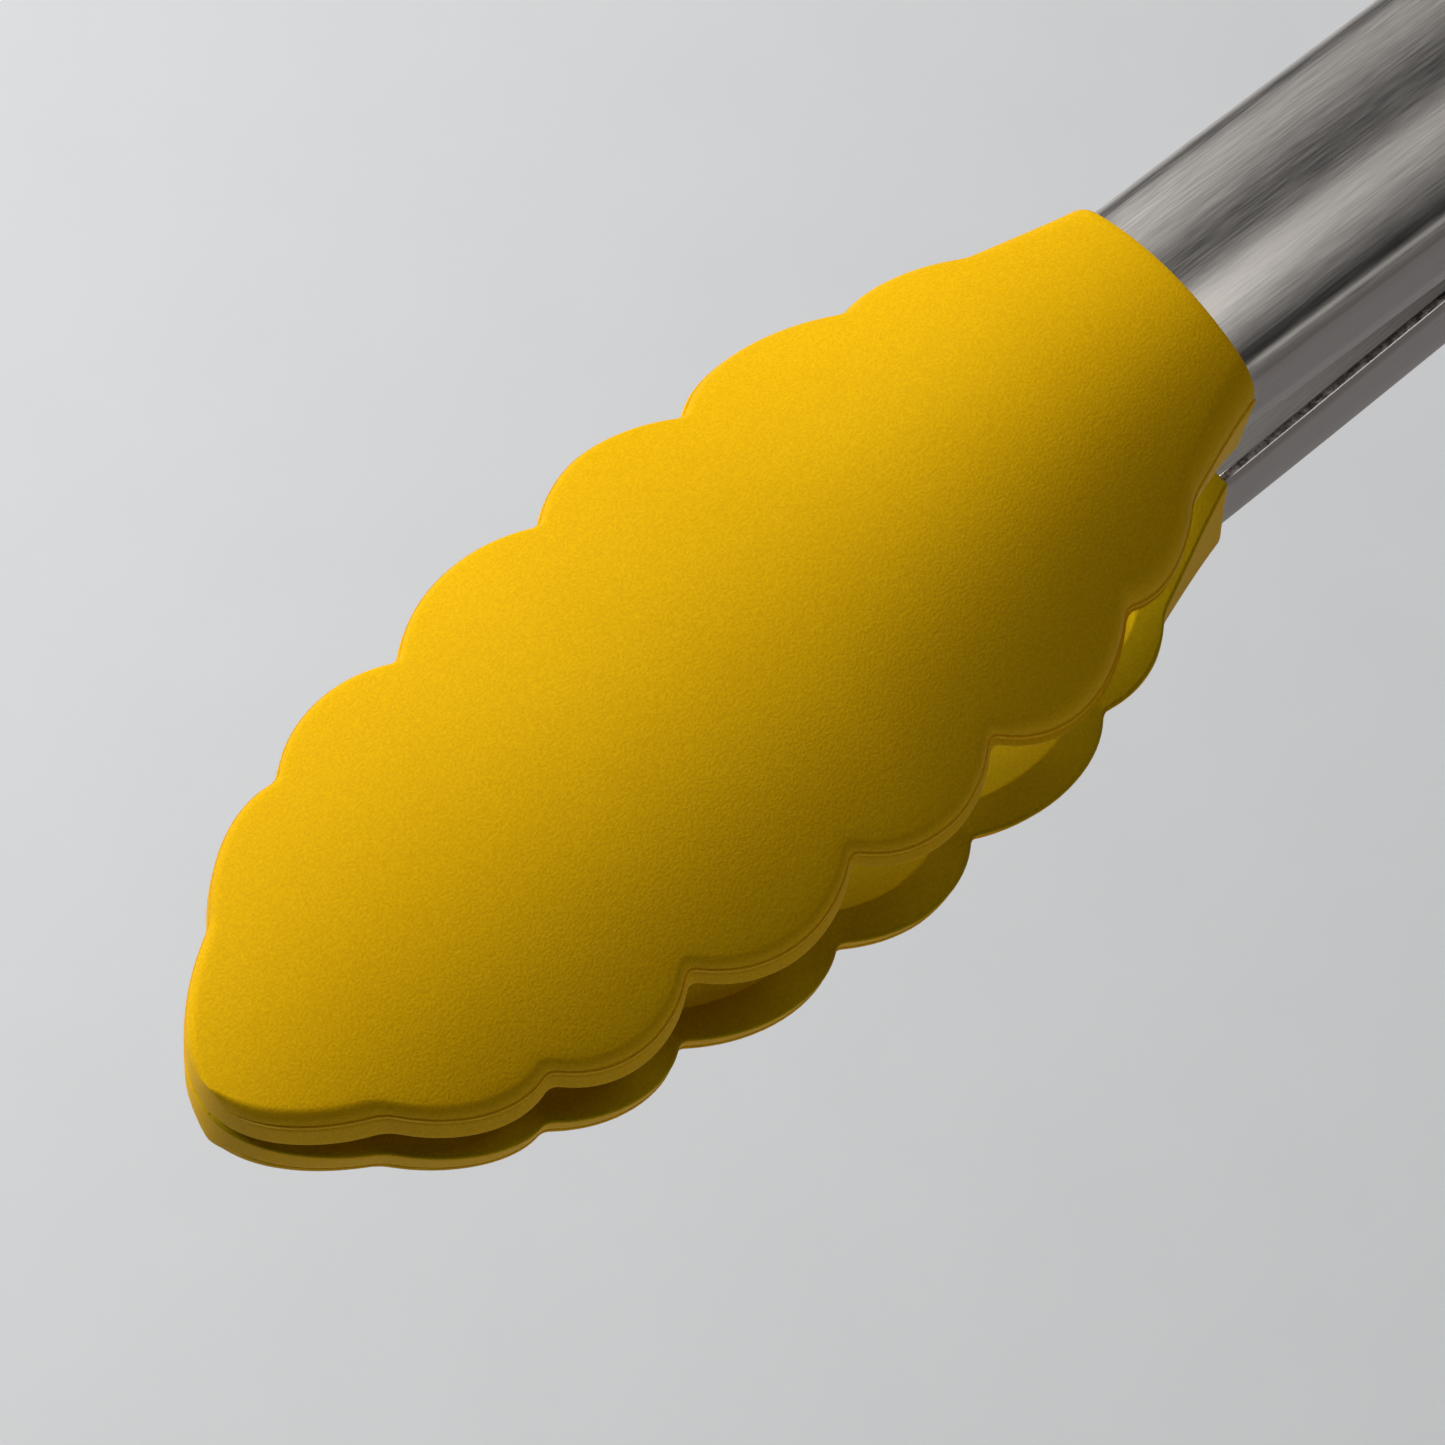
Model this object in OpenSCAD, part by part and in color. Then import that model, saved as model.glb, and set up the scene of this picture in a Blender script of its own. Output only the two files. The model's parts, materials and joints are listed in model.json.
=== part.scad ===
// Spring-loaded locking kitchen tongs with scalloped silicone heads.
// X runs from the pull tab to the tips, Y is the pivot axis, Z is the opening direction.
// The tongs are drawn closed and locked, resting on the back of the lower head.

/* [Overall] */
// Pivot axis to the tips
pivot_to_tip = 255; // [212:0.5:306]
// Steel between the cam slots and the tail end of the arms
tail_wall = 2.7; // [2:0.1:4]
// Opening of each arm from closed, in degrees
open_angle = 12; // [6:0.5:12]

/* [Steel arms] */
// Sheet thickness
sheet = 0.8; // [0.6:0.05:1]
// Outer width of an arm along the handle
arm_w = 19.6; // [18:0.1:23.6]
// Outer width of an arm where it enters the head
neck_w = 19.2; // [16:0.1:23]
// Height of the arm's ridge above the parting plane, at the pivot
ridge_pivot = 12.5; // [12.4:0.1:14.5]
// Height of the arm's ridge above the parting plane, at the neck
ridge_neck = 17.3; // [16:0.1:20]
// Height of the arm's lower edge above the parting plane, at the neck
edge_neck = 4.3; // [3.5:0.1:6]
// Gap between the arms' edges along the handle when closed, per arm
edge_gap = 0.4; // [0.3:0.05:1]
// Crown of the arm's back: fall per square millimetre away from the ridge
arm_crown = 0.03; // [0.02:0.002:0.034]
// Radius of the arm's folded shoulders
arm_fold_r = 3.2; // [2:0.1:4]

/* [Pivot ears] */
// Depth that each ear reaches past the parting plane
ear_drop = 6; // [5.5:0.1:6.2]
// Pivot axis to the front end of the ears
ear_front = 20; // [16:0.5:24]
// Clear gap between the ears of the two arms, which holds a washer
ear_gap = 0.8; // [0.6:0.05:1.2]

/* [Silicone heads] */
// Length of a head from its collar to its tip
head_len = 99.2; // [82:0.2:120]
// Wall of silicone on each side of the steel
skin = 1.2; // [0.9:0.05:1.4]
// Distances of the scallop valleys from the tip, as shares of the head's length
valley_at = [0.089, 0.206, 0.339, 0.497, 0.646, 0.805, 0.904]; // rising, each 0.05 to 0.95
// Half widths of the head at those valleys
valley_w = [10.4, 16, 17, 18.3, 18, 16.8, 13.8]; // 9 to 22 each
// Bulge of each scallop past the line between its valleys
scallop_bulge = [2.2, 2.8, 3.2, 3.2, 3.2, 1.6]; // 0.5 to 4 each
// Half length of the ellipse that rounds the nose
nose_len = 32.6; // [26:0.2:40]
// Length of bare silicone ahead of the steel
tip_pad = 3.4; // [3:0.1:5]
// Fall of the back's ridge, from the neck to 0.19, 0.5, 0.8 and all of the head's length
back_fall = [0.8, 3.4, 8, 13.3]; // rising, each 0.2 to 13.5
// Crown of the head's back: fall per square millimetre away from the ridge
head_crown = 0.0143; // [0.012:0.0005:0.016]
// Radius of the head's rim corner
rim_r = 1.5; // [1.3:0.1:2]
// Heights of the rim wall at 0.096, 0.197, 0.5 and 0.8 of the head's length
rim_wall = [4.2, 2.3, 2.9, 3.5]; // 2.2 to 4.5 each
// Height of the rim wall at the tip
rim_tip = 4.8; // [4:0.1:4.9]
// Lean of the collar's sides, inward at their lower edge
collar_lean = 0.6; // [0:0.1:0.8]
// Flare of the rim wall, outward at its lower edge
rim_flare = 0.3; // [0:0.1:0.6]

/* [Grips] */
// Pivot axis to the rear end of the grips
grip_start = 34; // [33:1:40]
// Bare steel between a grip and the collar
grip_to_collar = 41.8; // [35:0.2:60]
// Thickness of a grip at its middle
grip_t = 2.2; // [1.2:0.1:3]

/* [Pivot] */
// Radius of the pivot rivet's shank
rivet_r = 2; // [1.6:0.05:2.4]
// Radius of the rivet's heads
rivet_head_r = 4.2; // [3.2:0.1:5]
// Outer radius of the sleeve on the rivet
sleeve_r = 3.2; // [2.8:0.05:3.9]
// Radial clearance of the running fits
run_fit = 0.06; // [0.02:0.01:0.1]
// Radius of the ear washers
washer_r = 5; // [4:0.1:5.2]

/* [Spring] */
// Wire diameter
wire_d = 1.6; // [1.2:0.1:1.8]
// Clear gap between the sleeve and the coil
coil_gap = 0.5; // [0.4:0.05:0.8]
// Number of full turns
coil_turns = 4; // [3:1:5]
// Reach of the legs ahead of the pivot
leg_reach = 36; // [28:1:44]

/* [Lock] */
// Travel of the lock from locked to free
lock_travel = 5; // [3.5:0.25:5]
// Pivot axis to the cross pin when locked
pin_back = 13.5; // [13.2:0.1:13.8]
// Radius of the cross pin
pin_r = 1.5; // [1.2:0.05:1.8]
// Clearance around the cross pin in the arms' cam slots
slot_fit = 0.3; // [0.25:0.05:0.4]
// Steel of the lock bracket above and below the sleeve
bracket_rim = 1.74; // [1.3:0.05:2]
// Thickness of the pull tab
tab_t = 5; // [4:0.1:6]
// Radius of the pull tab's ring
tab_r = 11; // [9:0.1:13]
// Radius of the hanging hole
hang_r = 5.5; // [4:0.1:6.5]

/* [Hidden] */
$fn = 48;

// Places along X, from the pivot
collar_x = pivot_to_tip - head_len;
steel_end_x = pivot_to_tip - tip_pad;
tail_len = pin_back + pin_r + slot_fit + tail_wall;
grip_end_x = collar_x - grip_to_collar;
ear_run = 4;
joggle_run = 12;

// Half widths of the nested ears, from the outside in
ear_set = 0.3;
upper_ear_y = arm_w / 2 - ear_set;
lower_ear_y = upper_ear_y - sheet - ear_gap;

// Height over the pivot that the inner ear may reach as it turns under the other arm's back
roof_gap = 0.53;
ear_head = ridge_pivot - sheet - arm_crown * lower_ear_y * lower_ear_y - roof_gap;
ear_knee_x = max((ear_drop - ear_head) / tan(2 * open_angle), 1 - pin_back);

// The spring's coil
coil_r = sleeve_r + wire_d / 2 + coil_gap;

// The lock
play = 0.5;
bracket_y = lower_ear_y - sheet - play;
bracket_t = 0.8;
bracket_h = sleeve_r + run_fit + bracket_rim;
pin_x = -pin_back;
web_back = 2.3;
web_x = pin_x - pin_r - web_back;
tab_gap = 0.05;
tab_x = web_x - tab_gap;
tab_neck = 17;
tab_neck_w = 2 * bracket_y - 0.4;
ring_x = tab_x - tab_neck;
assembly_fit = 0.03;

// The origin is under the middle of the box
x_shift = -(pivot_to_tip + ring_x - tab_r) / 2;

steel = [0.72, 0.71, 0.7];
dark_steel = [0.5, 0.5, 0.52];
yellow = [0.95, 0.7, 0.03];
charcoal = [0.13, 0.13, 0.14];
nylon = [0.85, 0.84, 0.8];

// ---- Curves ----

// Index of the span of table that holds x
function span(x, table, i = 0) =
    i >= len(table) - 2 || x < table[i + 1][0] ? i : span(x, table, i + 1);

// Slope of table at its point i
function slope(table, i) =
    let (a = max(i - 1, 0), b = min(i + 1, len(table) - 1))
    (table[b][1] - table[a][1]) / (table[b][0] - table[a][0]);

// Smooth curve through the [x, value] points of table, level beyond its ends
function curve(x, table) =
    x <= table[0][0] ? table[0][1] :
    x >= table[len(table) - 1][0] ? table[len(table) - 1][1] :
    let (
        i = span(x, table),
        h = table[i + 1][0] - table[i][0],
        t = (x - table[i][0]) / h,
        a = slope(table, i) * h,
        b = slope(table, i + 1) * h
    )
    (2 * t * t * t - 3 * t * t + 1) * table[i][1] + (t * t * t - 2 * t * t + t) * a
    + (3 * t * t - 2 * t * t * t) * table[i + 1][1] + (t * t * t - t * t) * b;

// Place at share f of the head's length, from the collar
function along(f) = collar_x + f * head_len;

// Distance of x from the tip, kept just off the very end of the nose
function from_tip(x) = max(pivot_to_tip - x, 0.05);

// ---- The form shared by the steel and the silicone, at the silicone's outer face ----

// Height of the back's ridge
function ridge(x) = curve(x, [
    [-tail_len, ridge_pivot + skin - 0.3],
    [0, ridge_pivot + skin],
    [collar_x * 0.5, (ridge_pivot + ridge_neck) / 2 + skin],
    [collar_x * 0.76, (ridge_pivot + 3 * ridge_neck) / 4 + skin - 0.2],
    [collar_x, ridge_neck + skin],
    [along(0.19), ridge_neck + skin - back_fall[0]],
    [along(0.5), ridge_neck + skin - back_fall[1]],
    [along(0.8), ridge_neck + skin - back_fall[2]],
    [pivot_to_tip, ridge_neck + skin - back_fall[3]]
]);

// Crown of the back
function crown(x) = curve(x, [
    [collar_x, arm_crown],
    [along(0.22), (arm_crown + head_crown) / 2],
    [along(0.44), head_crown]
]);

// Corner radius between the back and the side
function fold(x) = curve(x, [
    [collar_x, arm_fold_r + skin],
    [along(0.22), (arm_fold_r + skin + rim_r) / 2],
    [along(0.4), rim_r]
]);

// Height of the side or rim wall below the back's edge
function wall(x) = curve(x, [
    [collar_x, ridge_neck + skin - arm_crown * pow(neck_w / 2 + skin, 2) - edge_neck + skin],
    [along(0.096), rim_wall[0]],
    [along(0.197), rim_wall[1]],
    [along(0.5), rim_wall[2]],
    [along(0.8), rim_wall[3]],
    [pivot_to_tip, rim_tip]
]);

// Distance of valley i from the tip
function valley(i) = valley_at[i] * head_len;

// Half width of scallop i at distance d from the tip: an arc that bulges from its chord
function scallop_w(i, d) =
    let (
        a = valley(i),
        b = valley(i + 1),
        c = (b - a) / 2,
        h = scallop_bulge[i],
        r = (c * c + h * h) / (2 * h),
        m = (a + b) / 2
    )
    valley_w[i] + (valley_w[i + 1] - valley_w[i]) * (d - a) / (b - a)
    + sqrt(max(r * r - (d - m) * (d - m), 0)) - (r - h);

// Half width of the nose at distance d from the tip
function nose_w(d) =
    let (a = nose_len, v = valley(0))
    valley_w[0] * sqrt((2 * d / a - d * d / (a * a)) / (2 * v / a - v * v / (a * a)));

// Half width of the head at x
function head_w(x) =
    let (d = from_tip(x), last = len(valley_at) - 1)
    d <= valley(0) ? nose_w(d) :
    d >= valley(last) ?
        neck_w / 2 + skin + (valley_w[last] - neck_w / 2 - skin)
        * pow(max(head_len - d, 0) / (head_len - valley(last)), 1.15) :
    scallop_w([for (i = [0 : last - 1]) if (d >= valley(i) && d < valley(i + 1)) i][0], d);

// Half width of the steel's outer face at x; ear_y is the half width of this arm's ears
function steel_w(x, ear_y) =
    x > collar_x ? head_w(x) - skin :
    curve(x, [
        [ear_front, ear_y],
        [ear_front + 3, ear_y],
        [ear_front + joggle_run, arm_w / 2],
        [ear_front + joggle_run + 2, arm_w / 2],
        [collar_x * 0.6, arm_w / 2],
        [collar_x * 0.84, arm_w / 4 + neck_w / 4],
        [collar_x, neck_w / 2]
    ]);

// Height of the lower edge of the head's rim
function head_edge(x) = ridge(x) - crown(x) * pow(head_w(x), 2) - wall(x);

// Height of the lower edge of the steel; ears reach past the parting plane
function steel_edge(x) =
    x > collar_x ? head_edge(x) + skin :
    x >= ear_front + ear_run ? curve(x, [
        [ear_front + ear_run, edge_gap],
        [collar_x * 0.52, edge_gap + 0.1],
        [collar_x * 0.71, edge_gap + (edge_neck - edge_gap) * 0.2],
        [collar_x * 0.85, edge_gap + (edge_neck - edge_gap) * 0.56],
        [collar_x, edge_neck]
    ]) :
    x >= ear_front ? -ear_drop + (edge_gap + ear_drop) * (x - ear_front) / ear_run :
    -min(ear_drop, ear_head + tan(2 * open_angle) * x);

// ---- Sections and lofts ----

crown_steps = 4;
fold_steps = 3;

// Half a section, from the ridge to the edge: a crowned back, a corner and a leaning wall
function half_section(w, top, k, r, edge, lean) =
    let (
        a = atan(2 * k * max(w - r / 2, 0.1)),
        y_end = w - r * (1 - sin(a)),
        z_end = top - k * y_end * y_end,
        corner_z = z_end - r * cos(a)
    )
    concat(
        [for (i = [0 : crown_steps - 1]) let (y = y_end * i / crown_steps) [y, top - k * y * y]],
        [for (i = [0 : fold_steps])
            let (b = a + (90 - a) * i / fold_steps)
            [w - r + r * sin(b), corner_z + r * cos(b)]],
        [[w - lean, min(edge, corner_z - 0.05)]]
    );

// A whole section at x, from the far edge over the ridge to the near edge
function section(x, half) = concat(
    [for (i = [len(half) - 1 : -1 : 1]) [x, -half[i][0], half[i][1]]],
    [for (p = half) [x, p[0], p[1]]]
);

// Section of the form at x, moved inward by depth; the edge stays at the height given
function form(x, w, depth, edge, lean = 0) =
    let (half = max(w - depth, 0.3))
    section(x, half_section(
        half, ridge(x) - depth, crown(x), min(max(fold(x) - depth, 0.25), half * 0.8), edge, lean
    ));

// Inward lean of the silicone's outer wall
function lean(x) =
    curve(x, [[collar_x, collar_lean], [along(0.12), 0], [along(0.3), -rim_flare]])
    * min(1, from_tip(x) / 6);

// The four skins of a head at x: outside, inside, and the two faces of its steel pocket
fit_gap = 0.05;
function head_outer(x) = form(x, head_w(x), 0, head_edge(x), lean(x));
function head_inner(x) =
    let (
        full = form(x, head_w(x), 2 * skin + sheet, head_edge(x)),
        fade = min(1, max(0, (from_tip(x) - 0.8) / 4)),
        rise = fade * (2 - fade),
        floor_z = head_edge(x)
    )
    [for (p = full) [p[0], p[1], floor_z + max(p[2] - floor_z, 0) * rise]];
function pocket_outer(x) = form(x, head_w(x), skin - fit_gap, head_edge(x) + skin - fit_gap);
function pocket_inner(x) = form(x, head_w(x), skin + sheet + fit_gap, head_edge(x) + skin - fit_gap);

// The two faces of an arm at x
function arm_outer(x, ear_y) = form(x, steel_w(x, ear_y) + skin, skin, steel_edge(x));
function arm_inner(x, ear_y) = form(x, steel_w(x, ear_y) + skin, skin + sheet, steel_edge(x));

// Triangles between row a and row b, each of n points, at points i and i + 1
function strip(a, b, n, turn = false) = [
    for (i = [0 : n - 2])
        each (turn
            ? [[a + i, a + i + 1, b + i + 1], [a + i, b + i + 1, b + i]]
            : [[a + i, b + i + 1, a + i + 1], [a + i, b + i, b + i + 1]])
];

// Triangles between the end points p and q of the skins that start at u and v
function seam(u, v, p, q, n, rows, turn) = [
    for (s = [0 : rows - 2])
        let (
            a = u + s * n + p,
            b = u + (s + 1) * n + p,
            c = v + s * n + q,
            d = v + (s + 1) * n + q
        )
        each (turn ? [[a, b, d], [a, d, c]] : [[a, d, b], [a, c, d]])
];

// Triangles of one skin that starts at u
function skin_faces(u, n, rows, turn) = [
    for (s = [0 : rows - 2]) each strip(u + s * n, u + (s + 1) * n, n, turn)
];

// Faces of a channel: an outer skin at u and an inner skin at v, without its ends
function channel_faces(u, v, n, rows, turn) = concat(
    skin_faces(u, n, rows, turn),
    skin_faces(v, n, rows, !turn),
    seam(u, v, 0, 0, n, rows, turn),
    seam(u, v, n - 1, n - 1, n, rows, !turn)
);

function flat(rows) = [for (r = rows) each r];

// A closed channel between two lists of sections
module channel(outer, inner) {
    n = len(outer[0]);
    rows = len(outer);
    v = n * rows;
    polyhedron(
        points = concat(flat(outer), flat(inner)),
        faces = concat(
            channel_faces(0, v, n, rows, true),
            strip(0, v, n, false),
            strip(n * (rows - 1), v + n * (rows - 1), n, true)
        )
    );
}

// A channel with a pocket inside its wall, open at the first section
module sleeved_channel(outer, inner, pocket_out, pocket_in) {
    n = len(outer[0]);
    rows = len(outer);
    deep = len(pocket_out);
    v = n * rows;
    p = 2 * v;
    q = p + n * deep;
    polyhedron(
        points = concat(flat(outer), flat(inner), flat(pocket_out), flat(pocket_in)),
        faces = concat(
            channel_faces(0, v, n, rows, true),
            channel_faces(p, q, n, deep, false),
            strip(0, p, n, false),
            strip(q, v, n, false),
            [[0, q, p], [0, v, q], [n - 1, p + n - 1, q + n - 1], [n - 1, q + n - 1, v + n - 1]],
            strip(n * (rows - 1), v + n * (rows - 1), n, true),
            strip(p + n * (deep - 1), q + n * (deep - 1), n, false)
        )
    );
}

// Places of the sections along a head
function steps(a, b, n) = [for (i = [0 : n - 1]) a + (b - a) * i / n];
scallops = len(valley_at) - 1;
head_x = concat(
    steps(collar_x, pivot_to_tip - valley(scallops), 3),
    [for (i = [scallops - 1 : -1 : 0])
        each steps(pivot_to_tip - valley(i + 1), pivot_to_tip - valley(i), i == scallops - 1 ? 3 : 4)],
    steps(pivot_to_tip - valley(0), steel_end_x, 2),
    [for (d = [tip_pad, 1.9, 0.9, 0.3, 0]) pivot_to_tip - d]
);
steel_x = [for (x = head_x) if (x <= steel_end_x + 0.01) x];
grip_steps = 8;
grip_x = steps(grip_start, grip_end_x, grip_steps);
arm_x = concat(
    steps(-tail_len, ear_knee_x, 3),
    steps(ear_knee_x, 0, 2),
    steps(0, ear_front, 3),
    [ear_front, ear_front + ear_run],
    steps(ear_front + joggle_run / 2, ear_front + joggle_run, 2),
    [ear_front + joggle_run],
    grip_x,
    steps(grip_end_x, collar_x, 4),
    steel_x
);
ridge_max = max([for (x = head_x) ridge(x)]);

// ---- Steel arms ----

// The path of the cross pin, seen from an arm: it comes in as the arm opens
cam_steps = 4;
function cam_point(i) =
    let (f = i / cam_steps, r = pin_back - lock_travel * f, a = 180 - open_angle * f)
    [r * cos(a), r * sin(a)];

// The slot that the cross pin runs in
module cam_slot() {
    slot_r = pin_r + slot_fit;
    rotate([90, 0, 0])
        for (i = [0 : cam_steps]) {
            p = cam_point(i);
            translate([p[0], p[1], 0]) cylinder(r = slot_r, h = 2 * arm_w, center = true);
        }
    rotate([90, 0, 0])
        for (i = [1 : cam_steps]) {
            p = cam_point(i - 1);
            q = cam_point(i);
            run = norm(q - p);
            translate([p[0], p[1], 0])
                rotate([0, 0, atan2(q[1] - p[1], q[0] - p[0])])
                    translate([0, -slot_r, -arm_w])
                        cube([run, 2 * slot_r, 2 * arm_w]);
        }
}

// One arm, with its ears ear_y from the middle
module arm(ear_y) {
    difference() {
        channel(
            [for (x = arm_x) arm_outer(x, ear_y)],
            [for (x = arm_x) arm_inner(x, ear_y)]
        );
        rotate([90, 0, 0]) cylinder(r = rivet_r + run_fit, h = 2 * arm_w, center = true);
        cam_slot();
    }
}

module place() {
    translate([x_shift, 0, ridge_max]) children();
}

module upper_arm() {
    color(steel) place() arm(upper_ear_y);
}

module lower_arm() {
    color(steel) place() mirror([0, 0, 1]) arm(lower_ear_y);
}

// ---- Silicone heads ----

pocket_x = concat(steel_x, [steel_end_x + fit_gap]);

module silicone_head() {
    sleeved_channel(
        [for (x = head_x) head_outer(x)],
        [for (x = head_x) head_inner(x)],
        [for (x = pocket_x) pocket_outer(x)],
        [for (x = pocket_x) pocket_inner(x)]
    );
}

module upper_silicone_head() {
    color(yellow) place() silicone_head();
}

module lower_silicone_head() {
    color(yellow) place() mirror([0, 0, 1]) silicone_head();
}

// ---- Grips ----

grip_seat = 0.05;
grip_edge = 1.2;

// Thickness of a grip at a share f of its length: full in the middle, thin at the ends
function grip_thick(f) = 0.7 + (grip_t - 0.7) * sqrt(sin(180 * f));

module grip() {
    xs = concat(grip_x, [grip_end_x]);
    channel(
        [for (i = [0 : grip_steps])
            let (x = xs[i], t = grip_thick(i / grip_steps))
            form(x, steel_w(x, 0) + skin, skin - t, steel_edge(x) + grip_edge)],
        [for (x = xs)
            form(x, steel_w(x, 0) + skin, skin - grip_seat, steel_edge(x) + grip_edge)]
    );
}

module upper_grip() {
    color(charcoal) place() grip();
}

module lower_grip() {
    color(charcoal) place() mirror([0, 0, 1]) grip();
}

// ---- Pivot ----

head_seat = upper_ear_y + run_fit;
head_h = 1.4;

// A rivet head that swells outward from y = 0
module domed_head(r, h) {
    rotate([-90, 0, 0])
        rotate_extrude()
            intersection() {
                ball = (r * r + h * h) / (2 * h);
                translate([0, h - ball]) circle(r = ball, $fn = 96);
                square([r, h]);
            }
}

module pivot_rivet() {
    color(dark_steel) place() {
        rotate([90, 0, 0]) cylinder(r = rivet_r, h = 2 * head_seat + 0.2, center = true);
        for (side = [0, 1])
            mirror([0, side, 0]) translate([0, head_seat, 0]) domed_head(rivet_head_r, head_h);
    }
}

module pivot_sleeve() {
    sleeve_len = 2 * (lower_ear_y - sheet) - 0.1;
    color(nylon) place() rotate([90, 0, 0]) difference() {
        cylinder(r = sleeve_r, h = sleeve_len, center = true);
        cylinder(r = rivet_r + run_fit, h = sleeve_len + 2, center = true);
    }
}

module ear_washers() {
    washer_t = ear_gap - 0.1;
    color(nylon) place()
        for (side = [0, 1])
            mirror([0, side, 0])
                translate([0, lower_ear_y + ear_gap / 2, 0])
                    rotate([90, 0, 0]) difference() {
                        cylinder(r = washer_r, h = washer_t, center = true);
                        cylinder(r = rivet_r + run_fit, h = washer_t + 2, center = true);
                    }
}

// ---- Torsion spring ----

wire_sides = 8;
turn_steps = 14;
coil_pitch = wire_d + 0.12;
coil_w = coil_turns * coil_pitch;
leg_turn = 9;

// Height of the end of a leg, close under an arm's inner face
leg_gap = 0.3;
leg_y = coil_w / 2;
leg_roof = ridge(leg_reach) - skin - sheet - arm_crown * pow(leg_y + wire_d / 2, 2);
leg_top = leg_roof - wire_d / 2 - leg_gap;
leg_rise = atan((leg_top - coil_r) / leg_reach);
turn_total = 360 * coil_turns + 180 + 2 * leg_rise;

// Centre line: the upper leg, the coil, and the lower leg
spring_path = concat(
    [for (f = [1, 0.66, 0.33])
        [f * leg_reach + (1 - f) * -coil_r * sin(leg_rise), leg_y,
         f * leg_top + (1 - f) * coil_r * cos(leg_rise)]],
    [for (i = [0 : turn_steps * coil_turns + leg_turn])
        let (
            f = i / (turn_steps * coil_turns + leg_turn),
            a = 90 + leg_rise + f * turn_total
        )
        [coil_r * cos(a), coil_w * (0.5 - f), coil_r * sin(a)]],
    [for (f = [0.33, 0.66, 1])
        [f * leg_reach + (1 - f) * -coil_r * sin(leg_rise), -leg_y,
         -f * leg_top - (1 - f) * coil_r * cos(leg_rise)]]
);

function unit(v) = v / norm(v);

// A ring of the wire at point i of a path, square to it
function wire_ring(path, i) =
    let (
        a = path[max(i - 1, 0)],
        b = path[min(i + 1, len(path) - 1)],
        along = unit(b - a),
        side = unit([0, 1, 0] - along * along[1]),
        up = cross(along, side)
    )
    [for (s = [0 : wire_sides - 1])
        let (t = 360 * s / wire_sides)
        path[i] + wire_d / 2 * (cos(t) * side + sin(t) * up)];

module torsion_spring() {
    rings = [for (i = [0 : len(spring_path) - 1]) wire_ring(spring_path, i)];
    m = len(rings);
    n = wire_sides;
    color(dark_steel) place() polyhedron(
        points = flat(rings),
        faces = concat(
            [[for (s = [0 : n - 1]) s]],
            [for (i = [0 : m - 2], s = [0 : n - 1])
                [i * n + s, (i + 1) * n + s, (i + 1) * n + (s + 1) % n, i * n + (s + 1) % n]],
            [[for (s = [n - 1 : -1 : 0]) (m - 1) * n + s]]
        )
    );
}

// ---- Lock ----

// A slotted side plate of the bracket, in the plane of X and Z
module bracket_side() {
    nose_r = 3;
    slot_h = sleeve_r + run_fit;
    front = sleeve_r + 2.4;
    rotate([90, 0, 0]) difference() {
        union() {
            translate([web_x, -bracket_h, 0])
                cube([front - nose_r - web_x, 2 * bracket_h, bracket_t]);
            translate([web_x + nose_r, nose_r - bracket_h, 0])
                cube([front - web_x - nose_r, 2 * (bracket_h - nose_r), bracket_t]);
            for (z = [-1, 1])
                translate([front - nose_r, z * (bracket_h - nose_r), 0])
                    cylinder(r = nose_r, h = bracket_t);
        }
        translate([-lock_travel, -slot_h, -1]) cube([lock_travel, 2 * slot_h, bracket_t + 2]);
        for (x = [-lock_travel, 0])
            translate([x, 0, -1]) cylinder(r = slot_h, h = bracket_t + 2);
        translate([pin_x, 0, -1]) cylinder(r = pin_r + assembly_fit, h = bracket_t + 2);
    }
}

tab_rivet_r = 1.2;

module lock_bracket() {
    color(steel) place() {
        for (side = [0, 1])
            mirror([0, side, 0]) translate([0, bracket_y, 0]) bracket_side();
        difference() {
            translate([web_x, -bracket_y + bracket_t / 2, -bracket_h])
                cube([bracket_t, 2 * bracket_y - bracket_t, 2 * bracket_h]);
            translate([web_x - 1, 0, 0])
                rotate([0, 90, 0]) cylinder(r = tab_rivet_r + assembly_fit, h = bracket_t + 2);
        }
    }
}

pin_end = upper_ear_y + 1.5;

module lock_cross_pin() {
    color(dark_steel) place()
        translate([pin_x, 0, 0])
            rotate([90, 0, 0]) cylinder(r = pin_r, h = 2 * pin_end, center = true);
}

// Push-on caps that keep the cross pin in place
module cross_pin_caps() {
    cap_gap = 0.3;
    cap_t = pin_end - upper_ear_y - cap_gap;
    color(dark_steel) place()
        for (side = [0, 1])
            mirror([0, side, 0])
                translate([pin_x, upper_ear_y + cap_gap, 0])
                    rotate([-90, 0, 0]) difference() {
                        cylinder(r = pin_r + 1.1, h = cap_t);
                        translate([0, 0, -1]) cylinder(r = pin_r + assembly_fit, h = cap_t + 2);
                    }
}

tab_rivet_len = 7;

module tab_rivet() {
    head_t = 0.7;
    color(dark_steel) place() {
        translate([web_x - tab_rivet_len, 0, 0])
            rotate([0, 90, 0]) cylinder(r = tab_rivet_r, h = tab_rivet_len + bracket_t + 0.1);
        translate([web_x + bracket_t + 0.05, 0, 0])
            rotate([0, 90, 0]) cylinder(r = 2.2, h = head_t);
    }
}

module pull_tab() {
    neck_len = tab_x - ring_x;
    color(yellow) place() difference() {
        union() {
            translate([ring_x, 0, 0]) cylinder(r = tab_r, h = tab_t, center = true, $fn = 96);
            translate([ring_x, -tab_neck_w / 2, -tab_t / 2]) cube([neck_len, tab_neck_w, tab_t]);
        }
        translate([ring_x, 0, 0]) cylinder(r = hang_r, h = tab_t + 2, center = true);
        translate([web_x - tab_rivet_len - 0.3, 0, 0])
            rotate([0, 90, 0]) cylinder(r = tab_rivet_r + assembly_fit, h = tab_rivet_len + 2);
    }
}

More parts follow.
